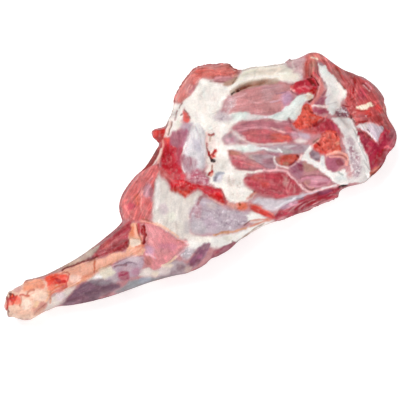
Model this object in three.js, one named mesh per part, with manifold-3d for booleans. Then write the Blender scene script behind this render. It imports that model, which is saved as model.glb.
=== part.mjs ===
// A raw beef foreleg lying on its outer side with the inner side up: shoulder, forearm and knuckle.
// Millimetres, +Z up. +X runs up the leg from the knuckle to the top of the shoulder blade,
// +Y points to the front of the leg, and the leg rests on z = 0.
// The meat is one solid and the forearm bone, bare at the knuckle and along the forearm, is another.

import * as THREE from "three";
import { mergeVertices } from "three/addons/utils/BufferGeometryUtils.js";
import Module from "manifold-3d";

// Driving dimensions
const LEG_THICKNESS = 108; // the thickest place, between elbow and shoulder
const EQUATOR = 0.42; // height of the widest outline, as a share of the thickness
const FOOT_FLATTENING = 1.2; // how far the underside is pressed flat by its own weight
const BELLY_FULLNESS = 0.6; // below 1 a muscle belly is full up to its rim
const SKIN_CELL = 9.8; // spacing of the grid that the meat's surface is drawn on
const PINCH_FILL = 1; // how deep inside the meat a filled grid corner counts as lying
const GRID_MARGIN = 20; // empty space kept round the meat in that grid
const GRID_HEIGHT = 1.2 * LEG_THICKNESS;
const OUTLINE_PIECES = 420; // straight pieces that the outline's curve is cut into
const ROLL_PIECES = 6; // and those of a roll's middle line, for each point of its path
const JOIN_RADIUS = 9; // how softly rolls of muscle grow out of the leg
const KNUCKLE_END = -396; // the bare end of the bone
const BONE_LENGTH = 282; // from the knuckle's end to the hidden end at the elbow
const BONE_DIAMETER = 30; // the bone's shaft
const KNUCKLE_DIAMETER = 58;
const BONE_FLATTENING = 0.9; // the bone's height over its width
const BONE_SIDES = 28;
const BONE_GAP = 0.4; // clearance between bone and meat
const WELD = 1e-3; // corners closer than this are one corner

// The meat's outline seen from above, round from the knuckle along the back edge of the leg.
const OUTLINE = [
  [-361, -44], [-354, -70], [-300, -77], [-245, -95], [-180, -106], [-120, -118], [-85, -131],
  [-40, -126], [1, -122], [46, -112], [90, -105], [150, -101], [215, -110], [262, -121],
  [306, -111], [348, -91], [375, -64], [378, -31], [387, -4], [397, 28], [376, 62],
  [342, 92], [332, 121], [322, 150], [290, 146], [239, 153], [189, 168], [150, 197],
  [112, 212], [74, 195], [44, 165], [8, 138], [-26, 111], [-65, 84], [-116, 59],
  [-144, 28], [-145, 11], [-173, 0], [-231, -11], [-290, -10], [-338, -4], [-358, -20],
];

// Thickness of the leg and width of its rounded edge, at places along x.
const THICKNESS = [
  [-360, 0.5], [-300, 0.58], [-230, 0.65], [-160, 0.76], [-100, 0.88], [-30, 0.96],
  [60, 0.95], [150, 0.86], [240, 0.76], [320, 0.64], [390, 0.5],
];
const EDGE_WIDTH = [
  [-360, 24], [-250, 36], [-150, 50], [-60, 66], [60, 72], [200, 62], [300, 46], [390, 30],
];

// Muscle bellies that swell out of the inner side: centre, half length and half width, turn and rise.
const BELLIES = [
  { name: "upper blade belly", at: [172, 116], half: [84, 34], turn: -6, rise: 9 },
  { name: "middle blade belly", at: [158, 48], half: [66, 21], turn: -36, rise: 7 },
  { name: "third blade belly", at: [118, 10], half: [66, 17], turn: -32, rise: 6 },
  { name: "lower blade belly", at: [126, -56], half: [62, 29], turn: -22, rise: 8 },
  { name: "small rear belly", at: [188, -84], half: [36, 14], turn: -10, rise: 5 },
  { name: "filmed shoulder belly", at: [8, 66], half: [54, 23], turn: 72, rise: 7 },
  { name: "arm belly", at: [-108, 26], half: [58, 34], turn: 40, rise: 7 },
  { name: "mottled arm sheet", at: [4, -62], half: [78, 38], turn: -8, rise: 7 },
  { name: "elbow triangle", at: [-112, -64], half: [46, 38], turn: -30, rise: 6 },
  { name: "forearm front belly", at: [-186, -22], half: [78, 14], turn: 10, rise: 4 },
  { name: "forearm rear belly", at: [-248, -80], half: [66, 18], turn: -12, rise: 5 },
  { name: "elbow rear belly", at: [-62, -104], half: [44, 20], turn: 2, rise: 6 },
  { name: "top edge swell", at: [342, 70], half: [56, 28], turn: -62, rise: 9 },
  { name: "top edge rear swell", at: [344, -42], half: [62, 26], turn: 74, rise: 8 },
  { name: "torn muscle", at: [244, 16], half: [72, 32], turn: -62, rise: 10 },
];

// Hollows between the bellies: centre, half length and half width, turn and depth.
const HOLLOWS = [
  { name: "armpit hollow", at: [52, 34], half: [62, 24], turn: 66, depth: 9 },
  { name: "front white hollow", at: [78, 140], half: [50, 28], turn: 25, depth: 9 },
  { name: "red cut wall", at: [-24, 72], half: [62, 18], turn: 62, depth: 9 },
  { name: "blade cartilage bed", at: [310, 40], half: [110, 20], turn: 72, depth: 7 },
  { name: "bone bed", at: [-250, -51], half: [136, 22], turn: -5, depth: 8 },
  { name: "rear white hollow", at: [86, -78], half: [36, 22], turn: -40, depth: 6 },
];

// Crags where muscle was torn off the blade: where they lie, their height, and two crossing rows of shreds,
// each with its spacing and its slant.
const TORN = { at: [250, 20], half: [98, 40], turn: -64, rise: 4 };
const SHRED_SPACING = [36, 27];
const SHRED_SLANT = [0.4, 0.5];

// Rolls and flaps of cut muscle: radius, how far each stands above the leg, and path seen from above.
const ROLLS = [
  {
    name: "front edge roll", radius: 14, rise: 9,
    path: [[40, 164], [66, 190], [110, 206], [150, 194], [172, 178]],
  },
  { name: "blade front ridge", radius: 14, rise: 7, path: [[150, 168], [205, 158], [262, 146], [302, 136]] },
  {
    name: "red cut edge", radius: 11, rise: 6,
    path: [[-46, 46], [-22, 4], [10, -14], [34, -52], [84, -96]],
  },
  { name: "rear flap", radius: 14, rise: -6, path: [[66, -94], [130, -104], [203, -110]] },
  { name: "torn tag", radius: 12, rise: 8, path: [[-2, 126], [-18, 138]] },
  { name: "top edge fold", radius: 13, rise: 7, path: [[318, 132], [346, 84], [366, 40]] },
  { name: "top rear fold", radius: 12, rise: 7, path: [[306, 8], [340, 10], [366, 6]] },
];

// The bone's outline from its bare end: distance along it, and radius as a share of the knuckle's
// in the first list and of the shaft's in the second.
const KNUCKLE_PROFILE = [
  [0, 0], [1, 0.5], [5, 0.78], [13, 0.94], [27, 1], [46, 0.97], [66, 0.84], [86, 0.69],
];
const SHAFT_PROFILE = [
  [108, 1.14], [135, 1.02], [190, 0.98], [240, 1.06], [266, 1], [278, 0.62], [BONE_LENGTH, 0],
];
const CONDYLE_SHARE = 0.13; // how deep the groove between the knuckle's two heads is
const CONDYLE_REACH = 70; // how far along the bone that groove fades out
const CONDYLE_NARROWNESS = 4; // a higher power makes the groove narrower

// The bone's middle line: from the knuckle, low on the floor, up to the top of the forearm.
const BONE_START = new THREE.Vector3(KNUCKLE_END, -38, 30);
const BONE_END = new THREE.Vector3(KNUCKLE_END + BONE_LENGTH, -63, 76);

const { smoothstep, lerp, degToRad, clamp } = THREE.MathUtils;

// A smooth value at x between stations given as [x, value].
function between(stations, x) {
  const next = stations.findIndex(([at]) => at > x);
  if (next === -1) return stations.at(-1)[1];
  if (next === 0) return stations[0][1];
  const [x0, v0] = stations[next - 1];
  const [x1, v1] = stations[next];
  return lerp(v0, v1, smoothstep(x, x0, x1));
}

// A closed curve through points, as many short straight pieces.
function closedCurve(points, pieces) {
  const corners = points.map(([x, y]) => new THREE.Vector3(x, y, 0));
  return new THREE.CatmullRomCurve3(corners, true).getSpacedPoints(pieces);
}

// How far (x, y) lies outside a closed curve, negative inside it.
function distanceOutside(curve, x, y) {
  let nearest = Infinity;
  let inside = false;
  for (let i = 0; i + 1 < curve.length; i++) {
    const a = curve[i];
    const b = curve[i + 1];
    const dx = b.x - a.x;
    const dy = b.y - a.y;
    const t = clamp(((x - a.x) * dx + (y - a.y) * dy) / (dx * dx + dy * dy), 0, 1);
    nearest = Math.min(nearest, Math.hypot(x - a.x - t * dx, y - a.y - t * dy));
    if (a.y > y !== b.y > y && x < a.x + ((y - a.y) / dy) * dx) inside = !inside;
  }
  return inside ? -nearest : nearest;
}

// From 1 in the middle of an oval to 0 at its rim.
function ovalShare({ at, half, turn }, x, y) {
  const c = Math.cos(degToRad(turn));
  const s = Math.sin(degToRad(turn));
  const along = ((x - at[0]) * c + (y - at[1]) * s) / half[0];
  const across = ((y - at[1]) * c - (x - at[0]) * s) / half[1];
  return Math.max(0, 1 - along * along - across * across);
}

// Crags of torn muscle: two crossing rows of shreds.
function crags(x, y) {
  const [first, second] = SHRED_SPACING.map((spacing) => (2 * Math.PI) / spacing);
  const shreds = Math.sin(first * (x + SHRED_SLANT[0] * y)) + Math.sin(second * (y - SHRED_SLANT[1] * x));
  return (TORN.rise / 2) * shreds * Math.sqrt(ovalShare(TORN, x, y));
}

// Height of the inner side: the leg's thickness with its bellies and hollows, before the edges round off.
function innerSide(x, y) {
  const swells = BELLIES.map((belly) => belly.rise * Math.pow(ovalShare(belly, x, y), BELLY_FULLNESS));
  const dips = HOLLOWS.map((hollow) => hollow.depth * smoothstep(ovalShare(hollow, x, y), 0, 1));
  const thickness = LEG_THICKNESS * between(THICKNESS, x);
  return thickness + Math.max(0, ...swells) - Math.max(0, ...dips) + crags(x, y);
}

// What the leg's form needs at one place in plan.
const outlineCurve = closedCurve(OUTLINE, OUTLINE_PIECES);
function column(x, y) {
  const top = innerSide(x, y);
  const edge = between(EDGE_WIDTH, x);
  return { top, edge, equator: EQUATOR * top, out: distanceOutside(outlineCurve, x, y) };
}

// Roughly the distance outside the leg's plain form: a pillow with an oval edge, pressed flat underneath.
function pillow({ top, edge, equator, out }, z) {
  const across = Math.max(0, 1 + out / edge);
  const reach = z > equator ? top - equator : equator * FOOT_FLATTENING;
  const up = Math.abs(z - equator) / reach;
  return (Math.hypot(across, up) - 1) * Math.min(edge, reach);
}

// A roll's middle line, set so that the roll stands its rise above the leg.
function rollLine({ path, radius, rise }) {
  const points = path.map(([x, y]) => new THREE.Vector3(x, y, rollHeight(x, y) + rise - radius));
  return new THREE.CatmullRomCurve3(points).getSpacedPoints(path.length * ROLL_PIECES);
}

// Height of the leg's rounded edge over (x, y), where a roll lies.
function rollHeight(x, y) {
  const { top, edge, equator, out } = column(x, y);
  const across = clamp(1 + out / edge, 0, 1);
  return equator + (top - equator) * Math.sqrt(1 - across * across);
}

const rollLines = ROLLS.map((roll) => ({ line: rollLine(roll), radius: roll.radius }));

function rollDistance({ line, radius }, point) {
  return Math.min(...line.map((middle) => middle.distanceTo(point))) - radius;
}

// The smaller of two distances, with a soft join where they are alike.
function softUnion(a, b) {
  const share = clamp(0.5 + (b - a) / (2 * JOIN_RADIUS), 0, 1);
  return lerp(b, a, share) - JOIN_RADIUS * share * (1 - share);
}

// Samples of the meat's distance on a regular grid.
function sampleMeat() {
  const plan = new THREE.Box2().setFromPoints(OUTLINE.map(([x, y]) => new THREE.Vector2(x, y)));
  plan.expandByScalar(GRID_MARGIN);
  const low = new THREE.Vector3(plan.min.x, plan.min.y, -SKIN_CELL / 2);
  const high = new THREE.Vector3(plan.max.x, plan.max.y, GRID_HEIGHT);
  const count = high.clone().sub(low).divideScalar(SKIN_CELL).ceil().addScalar(1);
  const values = new Float32Array(count.x * count.y * count.z);
  const point = new THREE.Vector3();
  for (let i = 0; i < count.x; i++) {
    for (let j = 0; j < count.y; j++) {
      const place = column(low.x + i * SKIN_CELL, low.y + j * SKIN_CELL);
      for (let k = 0; k < count.z; k++) {
        point.set(i, j, k).multiplyScalar(SKIN_CELL).add(low);
        let distance = pillow(place, point.z);
        for (const roll of rollLines) distance = softUnion(distance, rollDistance(roll, point));
        values[(i * count.y + j) * count.z + k] = Math.max(distance, -point.z);
      }
    }
  }
  fillPinches(values, count);
  return { values, count, low };
}

// Fills the grid corners where the meat would touch itself along a bare line,
// so that its skin is one closed surface.
function fillPinches(values, count) {
  const steps = [count.y * count.z, count.z, 1];
  const facePairs = [[0, 1], [1, 2], [2, 0]].map(([a, b]) => [steps[a], steps[b]]);
  let pinched = true;
  while (pinched) {
    pinched = false;
    for (let cell = 0; cell + steps[0] + steps[1] + 1 < values.length; cell++) {
      for (const [side, other] of facePairs) {
        const ring = [cell, cell + side, cell + side + other, cell + other];
        const [a, b, c, d] = ring.map((corner) => values[corner] < 0);
        if (a !== c || b !== d || a === b) continue;
        const [first, second] = a ? [ring[1], ring[3]] : [ring[0], ring[2]];
        values[values[first] < values[second] ? first : second] = -PINCH_FILL;
        pinched = true;
      }
    }
  }
}

// A closed skin over the samples' zero surface: one corner in each grid cell that the surface crosses,
// and one four-sided face round each grid edge that it crosses.
function skinOf({ values, count, low }) {
  const steps = [count.y * count.z, count.z, 1];
  const axes = [new THREE.Vector3(1, 0, 0), new THREE.Vector3(0, 1, 0), new THREE.Vector3(0, 0, 1)];
  const corners = [0, 1, 2, 3, 4, 5, 6, 7].map((n) => [n & 1, (n >> 1) & 1, n >> 2]);
  const positions = [];
  const cornerOfCell = new Map();

  // The middle of the places where the surface crosses a cell's edges.
  function cellCorner(cell, origin) {
    const middle = new THREE.Vector3();
    let crossings = 0;
    for (const corner of corners) {
      const start = cell + corner[0] * steps[0] + corner[1] * steps[1] + corner[2];
      for (let axis = 0; axis < 3; axis++) {
        if (corner[axis]) continue;
        const a = values[start];
        const b = values[start + steps[axis]];
        if (a < 0 === b < 0) continue;
        middle.add(new THREE.Vector3(...corner)).addScaledVector(axes[axis], a / (a - b));
        crossings++;
      }
    }
    if (!crossings) return;
    middle.divideScalar(crossings).add(origin).multiplyScalar(SKIN_CELL).add(low);
    cornerOfCell.set(cell, positions.length / 3);
    positions.push(middle.x, middle.y, middle.z);
  }

  for (let i = 0; i + 1 < count.x; i++)
    for (let j = 0; j + 1 < count.y; j++)
      for (let k = 0; k + 1 < count.z; k++)
        cellCorner(i * steps[0] + j * steps[1] + k, new THREE.Vector3(i, j, k));

  const index = [];
  for (const cell of cornerOfCell.keys()) {
    for (let axis = 0; axis < 3; axis++) {
      const inside = values[cell] < 0;
      if (inside === values[cell + steps[axis]] < 0) continue;
      const side = steps[(axis + 1) % 3];
      const other = steps[(axis + 2) % 3];
      const ring = [cell, cell - side, cell - side - other, cell - other].map((c) => cornerOfCell.get(c));
      const [a, b, c, d] = inside ? ring : ring.reverse();
      index.push(a, b, c, a, c, d);
    }
  }
  const skin = new THREE.BufferGeometry();
  skin.setAttribute("position", new THREE.Float32BufferAttribute(positions, 3));
  skin.setIndex(index);
  return skin;
}

// The bone as a lathe turned about its own length, squeezed to an oval, grooved on top of the knuckle
// and laid in place.
function boneGeometry(gap) {
  const profile = [
    ...KNUCKLE_PROFILE.map(([along, share]) => [along, (share * KNUCKLE_DIAMETER) / 2]),
    ...SHAFT_PROFILE.map(([along, share]) => [along, (share * BONE_DIAMETER) / 2]),
  ];
  const stretch = (BONE_LENGTH + 2 * gap) / BONE_LENGTH;
  const points = profile.map(([along, r]) => new THREE.Vector2(r && r + gap, along * stretch - gap));
  const bone = new THREE.LatheGeometry(points, BONE_SIDES);
  const position = bone.getAttribute("position");
  for (let i = 0; i < position.count; i++) {
    const [x, along, z] = [position.getX(i), position.getY(i), position.getZ(i)];
    const groove = CONDYLE_SHARE * smoothstep(CONDYLE_REACH - along, 0, CONDYLE_REACH);
    const side = x < 0 ? -1 : 1;
    const upness = Math.pow(Math.cos(Math.atan2(z, x)), CONDYLE_NARROWNESS);
    position.setX(i, x * (1 - side * groove * upness) * BONE_FLATTENING);
  }
  const direction = BONE_END.clone().sub(BONE_START).normalize();
  const level = new THREE.Vector3(0, 0, 1).cross(direction).normalize();
  const upward = direction.clone().cross(level);
  const place = new THREE.Matrix4().makeBasis(upward, direction, level).setPosition(BONE_START);
  bone.applyMatrix4(place);
  return closedPositions(bone);
}

// The same surface with only positions, and its doubled seam corners merged.
function closedPositions(geometry) {
  geometry.deleteAttribute("normal");
  geometry.deleteAttribute("uv");
  return mergeVertices(geometry, WELD);
}

const wasm = await Module();
wasm.setup();

function solidOf(geometry) {
  const vertProperties = new Float32Array(geometry.getAttribute("position").array);
  const triVerts = new Uint32Array(geometry.index.array);
  return new wasm.Manifold(new wasm.Mesh({ numProp: 3, vertProperties, triVerts }));
}

function geometryOf(solid) {
  const { vertProperties, triVerts } = solid.getMesh();
  const geometry = new THREE.BufferGeometry();
  geometry.setAttribute("position", new THREE.BufferAttribute(vertProperties, 3));
  geometry.setIndex(new THREE.BufferAttribute(triVerts, 1));
  geometry.computeVertexNormals();
  return geometry;
}

function namedMesh(name, geometry, finish) {
  const mesh = new THREE.Mesh(geometry, new THREE.MeshStandardMaterial(finish));
  mesh.name = name;
  return mesh;
}

const boneSolid = solidOf(boneGeometry(0));
const meatSolid = solidOf(skinOf(sampleMeat())).subtract(solidOf(boneGeometry(BONE_GAP)));

const leg = new THREE.Group();
leg.add(
  namedMesh("foreleg_meat", geometryOf(meatSolid), { color: 0xc0666a, roughness: 0.38, metalness: 0 }),
  namedMesh("forearm_bone", geometryOf(boneSolid), { color: 0xf1cdb8, roughness: 0.42, metalness: 0 }),
);

// The origin goes to the middle of the leg's box, on the surface it rests on.
const box = new THREE.Box3().setFromObject(leg);
const middle = box.getCenter(new THREE.Vector3());
leg.position.set(-middle.x, -middle.y, -box.min.z);

const foreleg = new THREE.Group();
foreleg.add(leg);

export default foreleg;
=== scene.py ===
# %% [markdown]
# A raw beef foreleg lies on its outer side with the inner side up. Its meat is one swollen mass of muscle
# bellies, parted by white fascia, and the forearm's bone lies bare at one end. The imported solids give the
# true form, so the first step loads them.

# %% Load the imported solids
import math
import bpy
import bmesh
import numpy as np
from mathutils import Matrix, Vector
from mathutils.bvhtree import BVHTree


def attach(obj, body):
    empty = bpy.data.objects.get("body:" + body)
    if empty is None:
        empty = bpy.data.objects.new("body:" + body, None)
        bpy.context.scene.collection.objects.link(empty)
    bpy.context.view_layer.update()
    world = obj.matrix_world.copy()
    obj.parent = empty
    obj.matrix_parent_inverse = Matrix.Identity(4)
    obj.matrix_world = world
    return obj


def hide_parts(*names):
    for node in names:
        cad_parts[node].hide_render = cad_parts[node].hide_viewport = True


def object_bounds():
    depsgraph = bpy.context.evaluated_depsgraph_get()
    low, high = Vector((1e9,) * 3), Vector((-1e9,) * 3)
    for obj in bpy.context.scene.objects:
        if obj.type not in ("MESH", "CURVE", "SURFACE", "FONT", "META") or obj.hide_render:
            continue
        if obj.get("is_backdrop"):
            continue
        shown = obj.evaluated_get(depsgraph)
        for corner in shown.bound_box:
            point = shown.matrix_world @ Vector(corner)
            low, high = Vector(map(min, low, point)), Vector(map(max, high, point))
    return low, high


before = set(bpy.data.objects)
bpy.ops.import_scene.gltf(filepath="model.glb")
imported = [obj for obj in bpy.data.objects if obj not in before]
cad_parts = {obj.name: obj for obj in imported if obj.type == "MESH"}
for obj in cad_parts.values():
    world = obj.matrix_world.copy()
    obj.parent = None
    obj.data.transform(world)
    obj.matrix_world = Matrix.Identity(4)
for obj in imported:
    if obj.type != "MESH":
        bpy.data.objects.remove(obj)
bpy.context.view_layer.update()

# %% [markdown]
# The camera looks down on the leg from a little to the left of its near edge, through a long lens, so the
# knuckle and the shoulder are drawn at nearly one scale. Its place is worked out from two angles and a
# distance. The same numbers later tell where any point of the surface falls in the picture, which is how
# each muscle is put where it belongs.

# %% Set up the camera
PICTURE = 400  # the picture's side, in pixels
LENS, SENSOR = 100.0, 36.0  # millimetres
TURN, HEIGHT = math.radians(-28), math.radians(65)  # round the leg, and above the table
DISTANCE = 2.0
AIM = Vector((0.001, -0.044, 0.0))  # the spot in the middle of the picture

toward = Vector((math.sin(TURN) * math.cos(HEIGHT), -math.cos(TURN) * math.cos(HEIGHT), math.sin(HEIGHT)))
rightward = Vector((math.cos(TURN), math.sin(TURN), 0))
upward = toward.cross(rightward)
eye = AIM + toward * DISTANCE

camera = bpy.data.objects.new("camera", bpy.data.cameras.new("camera"))
camera.data.lens, camera.data.sensor_width = LENS, SENSOR
turned = Matrix((rightward, upward, toward)).transposed().to_4x4()
camera.matrix_world = Matrix.Translation(eye) @ turned
bpy.context.scene.collection.objects.link(camera)
bpy.context.scene.camera = camera
PIXEL_MM = 1000 * DISTANCE * SENSOR / LENS / PICTURE
print("one pixel covers", round(PIXEL_MM, 2), "mm of the leg")


def seen_at(points):
    """Where points of the leg, in metres, fall in the picture, in pixels from its top left corner."""
    ray = points - np.array(eye)
    depth = -(ray @ np.array(toward))
    scale = PICTURE * LENS / SENSOR / depth
    return np.stack([PICTURE / 2 + scale * (ray @ np.array(rightward)),
                     PICTURE / 2 - scale * (ray @ np.array(upward))], axis=1)


# %% [markdown]
# The meat's solid has facets about a centimetre long. For the looks it needs a surface with a point in every
# pixel of the picture. A voxel remesh, smoothed until the facets are gone, gives an even net, and then each
# face that looks toward the camera is cut in four. Faces on the underside stay large, since nobody sees them
# close. The bone goes into the same remesh, so that the meat runs up to it without a gap.

# %% Make fine surfaces from the solids
MEAT_NET, MEAT_PASSES = 0.0038, 9  # the net's spacing in metres, and how often it is smoothed
BONE_NET, BONE_PASSES = 0.0026, 5
LAST_PASSES = 3  # smoothings after the cut in four
BEHIND = -0.1  # a face counts as seen until the camera is this many metres behind its plane


def fine_surface(name, nodes, voxel, passes):
    """A new object with the solids' joined outer surface, remeshed, smoothed, and finer where it is seen."""
    joined = bmesh.new()
    for node in nodes:
        joined.from_mesh(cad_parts[node].data)
    mesh = bpy.data.meshes.new(name)
    joined.to_mesh(mesh)
    joined.free()
    piece = bpy.data.objects.new(name, mesh)
    bpy.context.scene.collection.objects.link(piece)
    remesh = piece.modifiers.new("remesh", "REMESH")
    remesh.mode, remesh.voxel_size = "VOXEL", voxel
    smooth = piece.modifiers.new("smooth", "SMOOTH")
    smooth.factor, smooth.iterations = 0.5, passes
    settled = bpy.data.meshes.new_from_object(piece.evaluated_get(bpy.context.evaluated_depsgraph_get()))
    piece.modifiers.clear()
    piece.data = settled
    settled.name = name

    net = bmesh.new()
    net.from_mesh(settled)
    seen = {face.index for face in net.faces if face.normal.dot(eye - face.calc_center_median()) > BEHIND}
    edges = [edge for edge in net.edges if any(face.index in seen for face in edge.link_faces)]
    bmesh.ops.subdivide_edges(net, edges=edges, cuts=1, use_grid_fill=True)
    for _ in range(LAST_PASSES):
        bmesh.ops.smooth_vert(net, verts=net.verts, factor=0.5,
                              use_axis_x=True, use_axis_y=True, use_axis_z=True)
    net.to_mesh(settled)
    net.free()
    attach(piece, "root")
    triangles = sum(len(face.vertices) - 2 for face in settled.polygons)
    print(name, len(settled.vertices), "points,", triangles, "triangles")
    return piece


meat = fine_surface("foreleg_meat_surface", ["foreleg_meat", "forearm_bone"], MEAT_NET, MEAT_PASSES)
bone = fine_surface("forearm_bone_surface", ["forearm_bone"], BONE_NET, BONE_PASSES)
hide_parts("foreleg_meat")
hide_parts("forearm_bone")

# %% [markdown]
# Where the meat's surface lies on the bone it is sunk a little way into it, so that the bone comes out of
# the meat along one clean line.

# %% Sink the meat under the bare bone
BONE_COVER = 0.0016  # how near the bone counts as bare, and how far under it the meat goes
BONE_MARGIN = 0.01  # how far past the bone's end the meat is still looked at


def arrays_of(piece):
    """A piece's points and normals."""
    count = len(piece.data.vertices)
    points, normals = np.empty(count * 3), np.empty(count * 3)
    piece.data.vertices.foreach_get("co", points)
    piece.data.vertex_normals.foreach_get("vector", normals)
    return points.reshape(-1, 3), normals.reshape(-1, 3)


bone_tree = BVHTree.FromObject(bone, bpy.context.evaluated_depsgraph_get())
meat_points, _ = arrays_of(meat)
bone_reach = max(corner[0] for corner in bone.bound_box) + BONE_MARGIN
sunk = 0
for i in np.flatnonzero(meat_points[:, 0] < bone_reach):
    spot, normal, _, gap = bone_tree.find_nearest(Vector(meat_points[i]))
    if gap < BONE_COVER:
        meat_points[i] = spot - normal * BONE_COVER
        sunk += 1
meat.data.vertices.foreach_set("co", meat_points.ravel())
meat.data.update()
print("meat points under the bone:", sunk)

# %% [markdown]
# Muscle is laid as on a butcher's chart: outline by outline. Each outline is a few places in the picture,
# written as x,y pairs. Its corners are cut round, and every surface point learns how deep inside it lies.
# That depth gives a soft edge to the colour and a rounded swell to the form, so colour and relief agree.

# %% Define the chart's measures
def ease(low, high, value):
    """0 below low, 1 above high, and a smooth rise between."""
    share = np.clip((value - low) / (high - low), 0, 1)
    return share * share * (3 - 2 * share)


def linear(code):
    """A hex colour as linear red, green and blue."""
    shares = np.array([int(code[i:i + 2], 16) for i in (1, 3, 5)]) / 255
    return np.where(shares <= 0.04045, shares / 12.92, ((shares + 0.055) / 1.055) ** 2.4)


def rounded(path, closed):
    """The line through a path's x,y pairs, with each corner cut twice."""
    line = np.array([[float(value) for value in pair.split(",")] for pair in path.split()])
    for _ in range(2):
        if closed:
            line = np.vstack([line, line[:1]])
        quarter, rest = 0.75 * line[:-1] + 0.25 * line[1:], 0.25 * line[:-1] + 0.75 * line[1:]
        cut = np.stack([quarter, rest], axis=1).reshape(-1, 2)
        line = cut if closed else np.vstack([line[:1], cut, line[-1:]])
    return np.vstack([line, line[:1]]) if closed else line


def close_to(line, reach):
    """The surface points within reach of a line's box."""
    low, high = line.min(axis=0) - reach, line.max(axis=0) + reach
    return np.flatnonzero(((place > low) & (place < high)).all(axis=1))


def nearest_on(line, spots):
    """How far each spot lies from a line, and the line's nearest spot to it."""
    gap, nearest = np.full(len(spots), np.inf), np.zeros_like(spots)
    for start, end in zip(line[:-1], line[1:]):
        run = end - start
        share = np.clip((spots - start) @ run / max(run @ run, 1e-9), 0, 1)
        foot = start + share[:, None] * run
        far = np.hypot(*(spots - foot).T)
        nearest[far < gap] = foot[far < gap]
        gap = np.minimum(gap, far)
    return gap, nearest


def depth_in(line, spots):
    """How deep inside a closed line each spot lies, negative outside, and the line's nearest spot to it."""
    gap, nearest = nearest_on(line, spots)
    x, y = spots.T
    odd = np.zeros(len(spots), bool)
    for (x0, y0), (x1, y1) in zip(line[:-1], line[1:]):
        if y0 != y1:
            odd ^= ((y0 > y) != (y1 > y)) & (x < x0 + (y - y0) / (y1 - y0) * (x1 - x0))
    return np.where(odd, gap, -gap), nearest


def seed_of(name):
    """A number that is always the same for one name."""
    return sum(ord(letter) * (i + 1) for i, letter in enumerate(name))


def mottle(spots, size, seed):
    """Smooth random values from -1 to 1 that change over the given size, the same in each run."""
    lattice = np.random.default_rng(seed).uniform(-1, 1, (64, 64))
    cell = np.floor(spots / size).astype(int)
    share = spots / size - cell
    share = share * share * (3 - 2 * share)
    (i, j), (u, v) = cell.T % 64, share.T
    low = lattice[i, j] * (1 - u) + lattice[(i + 1) % 64, j] * u
    high = lattice[i, (j + 1) % 64] * (1 - u) + lattice[(i + 1) % 64, (j + 1) % 64] * u
    return low * (1 - v) + high * v


# %% [markdown]
# The solids' outline is true to a few millimetres, but the notches and tags along it are too small for them.
# So the rim is slid along the table, in or out, onto the leg's drawn outline. The slide dies away within a
# few centimetres of the rim.

# %% Fit the rim to the leg's outline
LEG_OUTLINE = """
    5.5,297 5,302 4,305 3.5,308 5.5,310.5 8.5,313 8,315 6.5,317.5 9,317.5 14,317.3 17,319 24,320.5
    31,319.5 36,317 40,314 44,312 50,309.5 57,306.8 64,306 72,304.8 82,303 96,300 116,294.5 130,289.5
    149,282.5 163,278.5 176,275.3 188,273.5 192,271 200,267.5 205,264.5 208.5,261 212,258 216,257.5
    221,254.5 226,252 231,248.5 235,244.5 240,240 244,237.8 256,230 265,225.3 274,221.5 280,220.5 289,217
    297,213.5 308,210.8 316,206.3 325,203 336,199 339,196 339.5,190.5 349,186.2 359,184.3 365,182.5
    367.5,180 372,176 377,171.2 381.5,166.3 385,160.5 386.5,155 387.5,152 391,150.5 394,147 395.8,141
    396.5,136 395.5,130.5 393,126 389.5,121 386.5,115 386.3,108 385.2,104.5 383.3,102.3 385,99.5
    383.5,96.5 381,93 378,89 375,85.5 371,82 366.5,79.5 363.5,76.8 357,75.5 353,73 346,71 341,68.5
    334,63.5 330,60.5 326,57.5 322,54.3 317,52.5 312,52.2 307,53.5 303,56 298,58.3 294,59.5 289,59.5
    287,58 286,59 287.5,62.5 284,63.7 278,64.2 270,65.5 262,67 255,66.5 249,67.5 243,70 240.5,71.5
    239,70.5 235,69.5 232.3,67 232,65 227,64 220,63.7 211,64.2 201,65.5 196,67.3 191.5,71 188,75
    184.5,79.5 181.5,84 179,88 176.5,93 175,98 173.5,103 173,108 171.5,112 169,117 167,122 165.5,126.5
    160,128 153,129.5 151.5,132.5 152.5,136 155,139.5 158.5,142.5 159,145.5 156.5,149.5 154,154 151,159
    147.5,164.5 144,169.5 140,172.7 136,176 133,179.7 130,183.5 127,187.5 123.5,193 121.5,198 120,203
    119.5,208 120.3,213 122,217.5 122.5,221.5 119.5,225.5 112.5,232 104.5,238.3 97,244.5 85,252.8 76,258.7
    68,263.3 59,268 52,271.5 46,274.5 38,277 30,279 24.5,280 24,283 19.5,286 15,287.5 12,290.5 9.5,291.5
    8.5,290 7.5,294"""
FIT_STEP = 1.5  # length of outline that is fitted as one, in pixels
FIT_REACH = 10.0  # how far inside the rim the slide dies away
FIT_MOST = 6.0  # the longest slide


def own_points():
    """Each piece, with the slice of the joined points that is its own."""
    first = 0
    for piece in pieces:
        own = slice(first, first + len(piece.data.vertices))
        first = own.stop
        yield piece, own


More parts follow.
